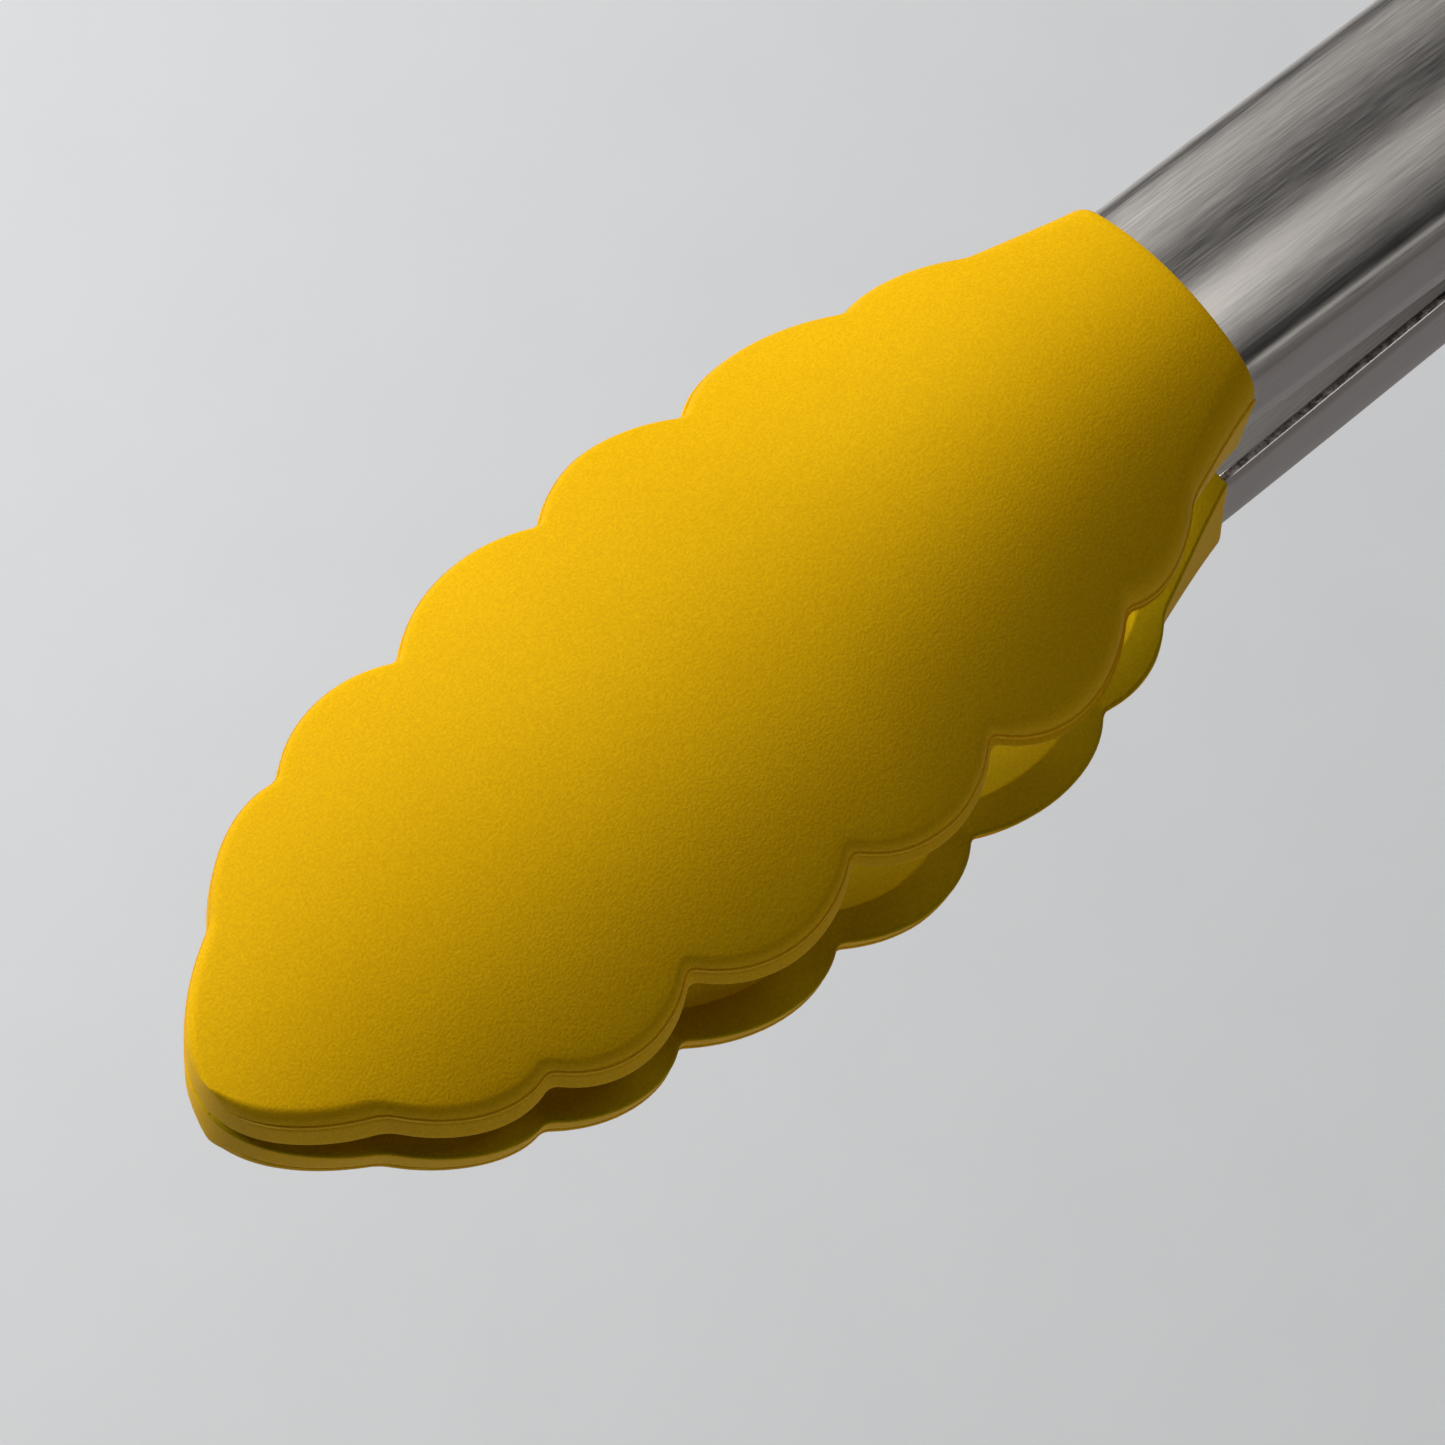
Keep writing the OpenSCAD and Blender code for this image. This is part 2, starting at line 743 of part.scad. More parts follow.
upper_arm();
lower_arm();
upper_silicone_head();
lower_silicone_head();
upper_grip();
lower_grip();
pivot_rivet();
pivot_sleeve();
ear_washers();
torsion_spring();
lock_bracket();
lock_cross_pin();
cross_pin_caps();
tab_rivet();
pull_tab();
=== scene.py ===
"""Looks of the spring-loaded kitchen tongs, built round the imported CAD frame.

Shapes are worked out in millimetres from the pivot axis: x runs to the tips, y along the axis and
z up from the parting plane of the two arms. place() turns such points into the frame's metres.
"""
import json
import math

import bmesh
import bpy
import numpy as np
from mathutils import Matrix, Vector


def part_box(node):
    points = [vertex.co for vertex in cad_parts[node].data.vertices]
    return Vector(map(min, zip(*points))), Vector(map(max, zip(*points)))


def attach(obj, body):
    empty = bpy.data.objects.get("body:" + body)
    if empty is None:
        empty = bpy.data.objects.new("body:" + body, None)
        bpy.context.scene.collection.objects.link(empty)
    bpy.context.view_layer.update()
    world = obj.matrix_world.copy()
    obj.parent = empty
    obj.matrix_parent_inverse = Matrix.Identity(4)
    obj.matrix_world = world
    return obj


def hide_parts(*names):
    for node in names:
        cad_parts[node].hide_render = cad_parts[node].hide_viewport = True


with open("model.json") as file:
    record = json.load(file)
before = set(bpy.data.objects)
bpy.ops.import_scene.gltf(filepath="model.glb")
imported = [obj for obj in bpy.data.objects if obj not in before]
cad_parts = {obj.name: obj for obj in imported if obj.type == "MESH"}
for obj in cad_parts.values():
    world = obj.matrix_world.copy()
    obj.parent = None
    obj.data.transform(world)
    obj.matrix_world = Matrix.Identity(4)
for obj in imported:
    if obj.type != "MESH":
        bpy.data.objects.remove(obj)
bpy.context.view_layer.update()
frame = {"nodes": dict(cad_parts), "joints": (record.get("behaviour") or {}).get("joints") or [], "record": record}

MM = 0.001

# ---- Places and sizes that the frame gives, in millimetres from the pivot ----

JOINTS = {j["name"]: j for j in frame["joints"]}
PIVOT = Vector(JOINTS["upper_hinge"]["pos_m"])


def span_mm(node, axis):
    """Lowest and highest place of a CAD node along one axis, from the pivot, in millimetres."""
    low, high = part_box(node)
    return (low[axis] - PIVOT[axis]) / MM, (high[axis] - PIVOT[axis]) / MM


COLLAR_X, TIP_X = span_mm("upper_silicone_head", 0)
HEAD_LEN = TIP_X - COLLAR_X
TAIL_X, STEEL_END_X = span_mm("upper_arm", 0)
GRIP_START, GRIP_END = span_mm("upper_grip", 0)
RIDGE_MAX = span_mm("upper_silicone_head", 2)[1]
EAR_DROP = -span_mm("upper_arm", 2)[0]

# ---- The form that steel and silicone share, as in the CAD source ----

SHEET = 0.8
SKIN = 1.2
ARM_W = 19.6
NECK_W = 19.2
RIDGE_PIVOT = 12.5
RIDGE_NECK = RIDGE_MAX - SKIN
EDGE_NECK = 4.3
EDGE_GAP = 0.4
ARM_CROWN = 0.03
ARM_FOLD_R = 3.2
HEAD_CROWN = 0.0143
RIM_R = 1.5
RIM_TIP = 4.8
COLLAR_LEAN = 0.6
RIM_FLARE = 0.3
NOSE_LEN = 32.6
VALLEY_AT = [0.089, 0.206, 0.339, 0.497, 0.646, 0.805, 0.904]
VALLEY_W = [10.4, 16, 17, 18.3, 18, 16.8, 13.8]
SCALLOP_BULGE = [2.2, 2.8, 3.2, 3.2, 3.2, 1.6]
BACK_FALL = [0.8, 3.4, 8, 13.3]
RIM_WALL = [4.2, 2.3, 2.9, 3.5]
EAR_FRONT = 20
EAR_RUN = 4
JOGGLE_RUN = 12
EAR_GAP = 0.8
EAR_SET = 0.3
UPPER_EAR_Y = ARM_W / 2 - EAR_SET
LOWER_EAR_Y = UPPER_EAR_Y - SHEET - EAR_GAP
OPEN_ANGLE = math.radians(JOINTS["upper_hinge"]["range_deg"][1])
ROOF_GAP = 0.53
EAR_HEAD = RIDGE_PIVOT - SHEET - ARM_CROWN * LOWER_EAR_Y ** 2 - ROOF_GAP
RUN_FIT = 0.06
RIVET_R = 2.0
PIN_R = 1.5
SLOT_FIT = 0.3
PIN_BACK = 13.5
LOCK_TRAVEL = JOINTS["lock_slide"]["range_m"][1] / MM


def curve(x, table):
    """Smooth curve through the (x, value) points of table, level beyond its ends."""
    if x <= table[0][0]:
        return table[0][1]
    if x >= table[-1][0]:
        return table[-1][1]
    i = max(k for k in range(len(table) - 1) if x >= table[k][0])

    def slope(k):
        a, b = max(k - 1, 0), min(k + 1, len(table) - 1)
        return (table[b][1] - table[a][1]) / (table[b][0] - table[a][0])

    h = table[i + 1][0] - table[i][0]
    t = (x - table[i][0]) / h
    rise, fall = slope(i) * h, slope(i + 1) * h
    return (
        (2 * t ** 3 - 3 * t * t + 1) * table[i][1] + (t ** 3 - 2 * t * t + t) * rise
        + (3 * t * t - 2 * t ** 3) * table[i + 1][1] + (t ** 3 - t * t) * fall
    )


def along(f):
    """Place at share f of the head's length, from the collar."""
    return COLLAR_X + f * HEAD_LEN


def ridge(x):
    """Height of the back's ridge, at the silicone's outer face."""
    return SKIN + curve(x, [
        (TAIL_X, RIDGE_PIVOT - 0.3),
        (0, RIDGE_PIVOT),
        (COLLAR_X * 0.5, (RIDGE_PIVOT + RIDGE_NECK) / 2),
        (COLLAR_X * 0.76, (RIDGE_PIVOT + 3 * RIDGE_NECK) / 4 - 0.2),
        (COLLAR_X, RIDGE_NECK),
        (along(0.19), RIDGE_NECK - BACK_FALL[0]),
        (along(0.5), RIDGE_NECK - BACK_FALL[1]),
        (along(0.8), RIDGE_NECK - BACK_FALL[2]),
        (TIP_X, RIDGE_NECK - BACK_FALL[3]),
    ])


def crown(x):
    """Fall of the back per square millimetre away from its ridge."""
    middle = (ARM_CROWN + HEAD_CROWN) / 2
    return curve(x, [(COLLAR_X, ARM_CROWN), (along(0.22), middle), (along(0.44), HEAD_CROWN)])


def fold(x):
    """Corner radius between the back and the side."""
    middle = (ARM_FOLD_R + SKIN + RIM_R) / 2
    return curve(x, [(COLLAR_X, ARM_FOLD_R + SKIN), (along(0.22), middle), (along(0.4), RIM_R)])


def wall(x):
    """Height of the side, or of the rim wall, below the back's edge."""
    at_collar = RIDGE_NECK + 2 * SKIN - ARM_CROWN * (NECK_W / 2 + SKIN) ** 2 - EDGE_NECK
    return curve(x, [
        (COLLAR_X, at_collar),
        (along(0.096), RIM_WALL[0]),
        (along(0.197), RIM_WALL[1]),
        (along(0.5), RIM_WALL[2]),
        (along(0.8), RIM_WALL[3]),
        (TIP_X, RIM_TIP),
    ])


def valley(i):
    """Distance of scallop valley i from the tip."""
    return VALLEY_AT[i] * HEAD_LEN


def scallop_w(i, d):
    """Half width of scallop i at distance d from the tip: an arc that bulges from its chord."""
    a, b, h = valley(i), valley(i + 1), SCALLOP_BULGE[i]
    c, m = (b - a) / 2, (a + b) / 2
    r = (c * c + h * h) / (2 * h)
    chord = VALLEY_W[i] + (VALLEY_W[i + 1] - VALLEY_W[i]) * (d - a) / (b - a)
    return chord + math.sqrt(max(r * r - (d - m) ** 2, 0)) - (r - h)


def crisp_head_w(x):
    """Half width of the head at x, with knife-sharp valleys."""
    d = max(TIP_X - x, 0.002)
    last = len(VALLEY_AT) - 1
    if d <= valley(0):
        a, v = NOSE_LEN, valley(0)
        return VALLEY_W[0] * math.sqrt((2 * d / a - d * d / a ** 2) / (2 * v / a - v * v / a ** 2))
    if d >= valley(last):
        neck = NECK_W / 2 + SKIN
        return neck + (VALLEY_W[last] - neck) * (
            max(HEAD_LEN - d, 0) / (HEAD_LEN - valley(last))) ** 1.15
    i = [k for k in range(last) if valley(k) <= d < valley(k + 1)][0]
    return scallop_w(i, d)


VALLEY_SOFTNESS = 0.55


def head_w(x):
    """Half width of the head at x: the valleys are softened a little, as a mould leaves them."""
    reach = min(VALLEY_SOFTNESS, max(TIP_X - x - 2, 0))
    if x <= COLLAR_X + reach or reach == 0:
        return crisp_head_w(x)
    shares = [-1, -0.6, -0.2, 0.2, 0.6, 1]
    return sum(crisp_head_w(x + s * reach) for s in shares) / len(shares)


def steel_w(x, ear_y):
    """Half width of the steel's outer face; ear_y is the half width of this arm's ears."""
    if x > COLLAR_X:
        return head_w(x) - SKIN
    return curve(x, [
        (EAR_FRONT, ear_y),
        (EAR_FRONT + 3, ear_y),
        (EAR_FRONT + JOGGLE_RUN, ARM_W / 2),
        (EAR_FRONT + JOGGLE_RUN + 2, ARM_W / 2),
        (COLLAR_X * 0.6, ARM_W / 2),
        (COLLAR_X * 0.84, ARM_W / 4 + NECK_W / 4),
        (COLLAR_X, NECK_W / 2),
    ])


def head_edge(x):
    """Height of the lower edge of the head's rim."""
    return ridge(x) - crown(x) * head_w(x) ** 2 - wall(x)


def steel_edge(x):
    """Height of the lower edge of the steel; ears reach past the parting plane."""
    if x > COLLAR_X:
        return head_edge(x) + SKIN
    if x >= EAR_FRONT + EAR_RUN:
        reach = EDGE_NECK - EDGE_GAP
        return curve(x, [
            (EAR_FRONT + EAR_RUN, EDGE_GAP),
            (COLLAR_X * 0.52, EDGE_GAP + 0.1),
            (COLLAR_X * 0.71, EDGE_GAP + reach * 0.2),
            (COLLAR_X * 0.85, EDGE_GAP + reach * 0.56),
            (COLLAR_X, EDGE_NECK),
        ])
    if x >= EAR_FRONT:
        return -EAR_DROP + (EDGE_GAP + EAR_DROP) * (x - EAR_FRONT) / EAR_RUN
    return -min(EAR_DROP, EAR_HEAD + math.tan(2 * OPEN_ANGLE) * x)


# ---- Mesh tools ----


def place(points, lower=False):
    """Points in millimetres from the pivot as points of the frame; lower mirrors them downwards."""
    p = np.asarray(points, float).reshape(-1, 3) * MM
    if lower:
        p = p * (1, 1, -1)
    return p + np.array(PIVOT)


def make_piece(name, points, faces, body, materials, lower=False, face_slots=None,
               stands_for=(), crease=40):
    """A smooth-shaded mesh piece that rides on a body and stands for some CAD nodes."""
    if lower:
        faces = [tuple(reversed(f)) for f in faces]
    mesh = bpy.data.meshes.new(name)
    mesh.from_pydata([tuple(p) for p in place(points, lower)], [], [tuple(f) for f in faces])
    if face_slots is not None:
        mesh.polygons.foreach_set("material_index", face_slots)
    mesh.validate()
    mesh.shade_smooth()
    mesh.set_sharp_from_angle(angle=math.radians(crease))
    piece = bpy.data.objects.new(name, mesh)
    bpy.context.scene.collection.objects.link(piece)
    for material in materials:
        mesh.materials.append(material)
    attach(piece, body)
    if stands_for:
        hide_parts(*stands_for)
    return piece


def ring_faces(rows, n):
    """Quads between neighbouring closed rings of n points."""
    return [
        (s * n + i, s * n + (i + 1) % n, (s + 1) * n + (i + 1) % n, (s + 1) * n + i)
        for s in range(rows - 1) for i in range(n)
    ]


def channel_faces(rows, n):
    """Faces of a closed loft of channel sections, whose rings run out and back along two skins."""
    faces = ring_faces(rows, n)
    half = n // 2
    end = (rows - 1) * n
    for i in range(half - 1):
        faces.append((n - 1 - i, n - 2 - i, i + 1, i))
        faces.append((end + i, end + i + 1, end + n - 2 - i, end + n - 1 - i))
    return faces


def arc(centre_y, centre_z, r, start, end, steps):
    """Points (y, z) of an arc; angles in radians from +z towards +y."""
    return [
        (centre_y + r * math.sin(start + (end - start) * i / steps),
         centre_z + r * math.cos(start + (end - start) * i / steps))
        for i in range(steps + 1)
    ]


def back_and_corner(w, top, k, r, back_steps, corner_steps):
    """Points (y, z) from the ridge over a crowned back and round the corner, and the corner's foot."""
    a = math.atan(2 * k * max(w - r / 2, 0.01))
    y_end = max(w - r * (1 - math.sin(a)), 0)
    corner_z = top - k * y_end ** 2 - r * math.cos(a)
    back = [
        (y_end * i / back_steps, top - k * (y_end * i / back_steps) ** 2)
        for i in range(back_steps)
    ]
    return back + arc(w - r, corner_z, r, a, math.pi / 2, corner_steps), corner_z


def whole(half):
    """Both sides of a half section, from the far edge over the ridge to the near edge."""
    return [(-y, z) for y, z in reversed(half[1:])] + list(half)


def spaced(a, b, n):
    """n places from a towards b, without b, closer together at both ends."""
    return [a + (b - a) * (1 - math.cos(math.pi * i / n)) / 2 for i in range(n)]


def even(a, b, n):
    """n evenly spaced places from a towards b, without b."""
    return [a + (b - a) * i / n for i in range(n)]


# ---- Materials ----


def new_material(name):
    """An empty node material and a helper that adds nodes and sets their inputs."""
    material = bpy.data.materials.new(name)
    material.use_nodes = True
    tree = material.node_tree
    tree.nodes.clear()

    def add(kind, inputs=None, **settings):
        node = tree.nodes.new(kind)
        for key, value in settings.items():
            setattr(node, key, value)
        for key, value in (inputs or {}).items():
            if isinstance(value, bpy.types.NodeSocket):
                tree.links.new(value, node.inputs[key])
            else:
                node.inputs[key].default_value = value
        return node

    return material, add


def stretched(add, scale):
    """Object coordinates in metres, multiplied by scale along each axis."""
    coords = add("ShaderNodeTexCoord")
    return add("ShaderNodeMapping", {"Vector": coords.outputs["Object"], "Scale": scale}).outputs[0]


def ramp(add, factor, low, high, low_at=0.0, high_at=1.0):
    """A two-stop colour ramp over factor."""
    node = add("ShaderNodeValToRGB", {"Fac": factor})
    node.color_ramp.elements[0].position = low_at
    node.color_ramp.elements[0].color = low
    node.color_ramp.elements[1].position = high_at
    node.color_ramp.elements[1].color = high
    return node.outputs["Color"]


def multiplied(add, first, second):
    """The product of two colours."""
    node = add("ShaderNodeMix", {0: 1.0, 6: first, 7: second}, data_type="RGBA", blend_type="MULTIPLY")
    return node.outputs[2]


def finish_material(add, shader):
    """Connects a shader to the material's output."""
    add("ShaderNodeOutputMaterial", {"Surface": shader.outputs[0]})


def silicone_material(name, dark, light):
    """Warm yellow silicone with a fine eroded grain from its mould, and light bluish specks that are painted
    glints.
    """
    material, add = new_material(name)
    grain_at = stretched(add, (1, 1, 1))
    grain = add("ShaderNodeTexNoise", {
        "Vector": grain_at, "Scale": 4200.0, "Detail": 2.0, "Roughness": 0.6})
    cloud = add("ShaderNodeTexNoise", {
        "Vector": grain_at, "Scale": 42.0, "Detail": 3.0, "Roughness": 0.5})
    colour = ramp(add, cloud.outputs["Fac"], dark, light, 0.35, 0.65)
    # Grain specks: the darker end is the grain's own tone, and the bright bluish end is painted glints.
    grain_and_painted_glint = ramp(add, grain.outputs["Fac"], (0.9, 0.9, 0.9, 1), (1.07, 1.08, 1.4, 1), 0.36, 0.7)
    mixed = multiplied(add, colour, grain_and_painted_glint)
    gloss = add("ShaderNodeMapRange", {
        "Value": grain.outputs["Fac"], "From Min": 0.3, "From Max": 0.7, "To Min": 0.5, "To Max": 0.66})
    bump = add("ShaderNodeBump", {
        "Height": grain.outputs["Fac"], "Strength": 0.6, "Distance": 0.00005})
    shader = add("ShaderNodeBsdfPrincipled", {
        "Base Color": mixed,
        "Roughness": gloss.outputs[0],
        "IOR": 1.2,
        "Specular IOR Level": 0.2,
        "Specular Tint": (1.0, 0.72, 0.1, 1),
        "Normal": bump.outputs[0],
    })
    finish_material(add, shader)
    return material


def streaks(add, is_side, along, across):
    """Noise drawn out along x: across y on the back of a sheet, across z on its sides."""
    over, beside = (
        add("ShaderNodeTexNoise", {
            "Vector": stretched(add, scale), "Scale": 1.0, "Detail": 2.0, "Roughness": 0.5,
        }).outputs["Fac"]
        for scale in ((along, across, 0), (along, 0, across))
    )
    return add("ShaderNodeMix", {0: is_side, 2: over, 3: beside}).outputs[0]


# Painted shade: the sides of the steel sheet take a much darker share of the tone than its back.
STEEL_SIDE_PAINTED_SHADE = (0.3, 0.255, 0.245)


def brushed_steel(name, tone, rough):
    """Stainless sheet brushed along x, with painted shade darkening its sides, and fine hairs in colour and
    relief.
    """
    material, add = new_material(name)
    normal = add("ShaderNodeNewGeometry").outputs["Normal"]
    sideways = add("ShaderNodeSeparateXYZ", {0: normal}).outputs["Y"]
    sideways = add("ShaderNodeMath", {0: sideways}, operation="ABSOLUTE").outputs[0]
    is_side = add("ShaderNodeMapRange", {
        "Value": sideways, "From Min": 0.9, "From Max": 0.995, "To Min": 0.0, "To Max": 1.0})
    fine = streaks(add, is_side.outputs[0], 220, 5600)
    broad = streaks(add, is_side.outputs[0], 10, 1300)
    dark = tuple(c * 0.9 for c in tone) + (1,)
    light = tuple(min(c * 1.07, 1) for c in tone) + (1,)
    back = ramp(add, broad, dark, light, 0.3, 0.7)
    hair = ramp(add, fine, (0.78, 0.78, 0.78, 1), (1.14, 1.14, 1.14, 1), 0.3, 0.7)
    back = multiplied(add, back, hair)
    # Painted shade: the sides take a darker copy of the steel tone.
    side = tuple(c * share for c, share in zip(tone, STEEL_SIDE_PAINTED_SHADE)) + (1,)
    colour = add("ShaderNodeMix", {0: is_side.outputs[0], 6: back, 7: side}, data_type="RGBA")
    gloss = add("ShaderNodeMapRange", {
        "Value": fine, "From Min": 0.3, "From Max": 0.7,
        "To Min": rough - 0.01, "To Max": rough + 0.05})
    bump = add("ShaderNodeBump", {
        "Height": fine, "Strength": 0.08, "Distance": 0.00002})
    shader = add("ShaderNodeBsdfPrincipled", {
        "Base Color": colour.outputs[2],
        "Metallic": 1.0,
        "Roughness": gloss.outputs[0],
        "Normal": bump.outputs[0],
    })
    finish_material(add, shader)
    return material


def cut_steel_material():
    """The sheared edge of the sheet: pale, rough and broken."""
    material, add = new_material("cut_edge")
    tear = add("ShaderNodeTexNoise", {
        "Vector": stretched(add, (1, 1, 1)), "Scale": 1300.0, "Detail": 4.0, "Roughness": 0.7})
    colour = ramp(add, tear.outputs["Fac"], (0.12, 0.105, 0.1, 1), (0.5, 0.46, 0.44, 1), 0.4, 0.64)
    bump = add("ShaderNodeBump", {
        "Height": tear.outputs["Fac"], "Strength": 0.6, "Distance": 0.00008})
    shader = add("ShaderNodeBsdfPrincipled", {
        "Base Color": colour, "Metallic": 1.0, "Roughness": 0.5, "Normal": bump.outputs[0]})
    finish_material(add, shader)
    return material


def plain_metal(name, tone, rough):
    """Turned or drawn metal: small tumbling marks in the gloss and the relief."""
    material, add = new_material(name)
    marks = add("ShaderNodeTexNoise", {
        "Vector": stretched(add, (1, 1, 1)), "Scale": 700.0, "Detail": 5.0, "Roughness": 0.6})
    dark = tuple(c * 0.86 for c in tone) + (1,)
    colour = ramp(add, marks.outputs["Fac"], dark, tone + (1,), 0.3, 0.6)
    gloss = add("ShaderNodeMapRange", {
        "Value": marks.outputs["Fac"], "From Min": 0.3, "From Max": 0.7,
        "To Min": rough - 0.05, "To Max": rough + 0.1})
    bump = add("ShaderNodeBump", {
        "Height": marks.outputs["Fac"], "Strength": 0.25, "Distance": 0.00004})
    shader = add("ShaderNodeBsdfPrincipled", {
        "Base Color": colour, "Metallic": 1.0, "Roughness": gloss.outputs[0],
        "Normal": bump.outputs[0]})
    finish_material(add, shader)
    return material


def moulded(name, dark, light, rough, grain_scale, depth):
    """Moulded rubber or plastic with an even fine grain."""
    material, add = new_material(name)
    grain = add("ShaderNodeTexNoise", {
        "Vector": stretched(add, (1, 1, 1)), "Scale": grain_scale, "Detail": 3.0, "Roughness": 0.6})
    colour = ramp(add, grain.outputs["Fac"], dark + (1,), light + (1,), 0.3, 0.7)
    gloss = add("ShaderNodeMapRange", {
        "Value": grain.outputs["Fac"], "From Min": 0.3, "From Max": 0.7,
        "To Min": rough - 0.06, "To Max": rough + 0.08})
    bump = add("ShaderNodeBump", {
        "Height": grain.outputs["Fac"], "Strength": 0.5, "Distance": depth})
    shader = add("ShaderNodeBsdfPrincipled", {
        "Base Color": colour, "Roughness": gloss.outputs[0], "Specular IOR Level": 0.4,
        "Normal": bump.outputs[0]})
    finish_material(add, shader)
    return material


SILICONE = silicone_material("yellow_silicone", (0.885, 0.49, 0.003, 1), (0.925, 0.52, 0.004, 1))
# Painted shade: a darker copy of the same silicone, for the heads' inner skin and lips.
SILICONE_PAINTED_SHADE = silicone_material(
    "yellow_silicone_painted_shade", (0.56, 0.38, 0.003, 1), (0.62, 0.42, 0.004, 1))
STEEL = brushed_steel("arm_steel", (0.63, 0.59, 0.55), 0.3)
LOCK_STEEL = brushed_steel("lock_steel", (0.58, 0.57, 0.56), 0.33)
CUT_EDGE = cut_steel_material()
RIVET_STEEL = plain_metal("rivet_steel", (0.58, 0.575, 0.56), 0.34)
SPRING_WIRE = plain_metal("spring_wire", (0.42, 0.42, 0.43), 0.35)
RUBBER = moulded(
    "grip_rubber", (0.022, 0.022, 0.024), (0.034, 0.034, 0.037), 0.55, 1800.0, 0.00006)
TAB_PLASTIC = moulded(
    "yellow_plastic", (0.84, 0.44, 0.004), (0.9, 0.49, 0.006), 0.42, 1500.0, 0.00004)
NYLON = moulded(
    "white_nylon", (0.68, 0.66, 0.61), (0.76, 0.74, 0.69), 0.42, 900.0, 0.00003)

# ---- Silicone heads ----

PARTING_STEP = 0.17
PARTING_DROP = 0.03
PARTING_TOP = 0.4
GROOVE_DEPTH = 0.08
GROOVE_MIDDLE = 0.46
GROOVE_FOOT = 0.56
BACK_INSET = 0.02
LIP_R = 0.35
COLLAR_R = 0.35
HEAD_THICK = 2 * SKIN + SHEET


def lean(x):
    """Inward lean of the silicone's outer wall at its lower edge."""
    leans = [(COLLAR_X, COLLAR_LEAN), (along(0.12), 0), (along(0.3), -RIM_FLARE)]
    return curve(x, leans) * min(1, (TIP_X - x) / 6)


def head_section(x):
    """A closed ring of a head at x: outer skin from the near edge to the far one, inner skin back."""
    w = max(head_w(x), 0.04)
    edge = head_edge(x)
    near_tip = min(1, w / 6)
    step = PARTING_STEP * near_tip
    r = min(fold(x), w * 0.8)
    outer, foot = back_and_corner(w - step, ridge(x) - BACK_INSET, crown(x), r, 16, 8)
    lip = min(LIP_R, w * 0.3)
    inward = lean(x)
    groove = GROOVE_DEPTH * near_tip
    outer += [(w, foot - PARTING_DROP), (w, foot - PARTING_TOP)]
    outer += [(w - groove, foot - GROOVE_MIDDLE), (w, foot - GROOVE_FOOT)]
    drop = max(foot - GROOVE_FOOT - edge - lip, 0.05)
    outer += [(w - inward * i / 5, foot - GROOVE_FOOT - drop * i / 5) for i in range(1, 6)]
    base = w - inward
    outer += arc(base - lip, edge + lip, lip, math.pi / 2 * 1.25, math.pi, 3)

    half = max(w - HEAD_THICK, 0.02)
    fade = min(1, max(0, (TIP_X - x - 0.8) / 4))
    rise = fade * (2 - fade)
    inner_r = min(max(fold(x) - HEAD_THICK, 0.6), half * 0.8)
    inner, _ = back_and_corner(half, ridge(x) - HEAD_THICK, crown(x), inner_r, 16, 8)
    inner += [(half, inner[-1][1] + (edge + lip - inner[-1][1]) * i / 6) for i in range(1, 7)]
    inner = [(y, edge + max(z - edge, 0) * rise) for y, z in inner]
    inner += arc(half + lip * 0.9 * near_tip, edge + lip * rise * near_tip, lip * near_tip * 0.9,
                 -math.pi / 2 * 1.25, -math.pi, 3)
    ring = whole(outer) + list(reversed(whole(inner)))
    return [(x, y, z) for y, z in ring]


def head_places():
    """Places of a head's sections, closer together at the valleys and the nose."""
    last = len(VALLEY_AT) - 1
    places = [COLLAR_X, COLLAR_X + 0.12, COLLAR_X + 0.35]
    places += even(COLLAR_X + 0.8, TIP_X - valley(last) - 0.8, 10)
    places += even(TIP_X - valley(last) - 0.8, TIP_X - valley(last), 4)
    for i in range(last - 1, -1, -1):
        places += spaced(TIP_X - valley(i + 1), TIP_X - valley(i), 26)
    places += [TIP_X - valley(0) * (1 - i / 30) ** 2 for i in range(30)]
    return places + [TIP_X - 0.002]


def collar_rounding(x):
    """How far the skins draw in close to the collar's end face, to round its edges."""
    d = min(max(x - COLLAR_X, 0), COLLAR_R)
    return COLLAR_R - math.sqrt(max(COLLAR_R ** 2 - (COLLAR_R - d) ** 2, 0))


def silicone_head(which, lower):
    """A head whose inner skin and lip take a darker copy of the silicone, as painted shade."""
    rings = []
    for x in head_places():
        ring = np.array(head_section(x))
        pull = collar_rounding(x)
        if pull > 0:
            middle = (ring + ring[::-1]) / 2
            toward = middle - ring
            length = np.linalg.norm(toward, axis=1, keepdims=True)
            ring = ring + toward / np.maximum(length, 1e-6) * np.minimum(pull, length * 0.8)
        rings.append(ring)
    n = len(rings[0])
    rows = len(rings)
    faces = channel_faces(rows, n)
    # The inner skin and lip faces take the darker copy of the silicone, as painted shade.
    face_slots = [
        1 if i < (rows - 1) * n and i % n >= n // 2 - 1 else 0 for i in range(len(faces))]
    make_piece(
        f"silicone_head_{which}", np.concatenate(rings), faces, which,
        [SILICONE, SILICONE_PAINTED_SHADE], lower, face_slots=face_slots,
        stands_for=[f"{which}_silicone_head"], crease=42)


# ---- Steel arms ----

EDGE_ROUND = 0.12


def arm_section(x, ear_y):
    """A closed ring of an arm at x, like head_section."""
    w = steel_w(x, ear_y)
    edge = steel_edge(x)
    top, k = ridge(x) - SKIN, crown(x)
    r = min(max(fold(x) - SKIN, 0.3), w * 0.8)
    inner_r = max(r - SHEET, 0.25)
    outer, foot = back_and_corner(w, top, k, r, 12, 8)
    inner, inner_foot = back_and_corner(w - SHEET, top - SHEET, k, inner_r, 12, 8)
    e = EDGE_ROUND
    outer += [(w, foot + (edge + e - foot) * i / 4) for i in range(1, 5)]
    outer += [(w - e * 0.3, edge + e * 0.3), (w - e, edge)]
    inner += [(w - SHEET, inner_foot + (edge + e - inner_foot) * i / 4) for i in range(1, 5)]
    inner += [(w - SHEET + e * 0.3, edge + e * 0.3), (w - SHEET + e, edge)]
    ring = whole(outer) + list(reversed(whole(inner)))
    return [(x, y, z) for y, z in ring]


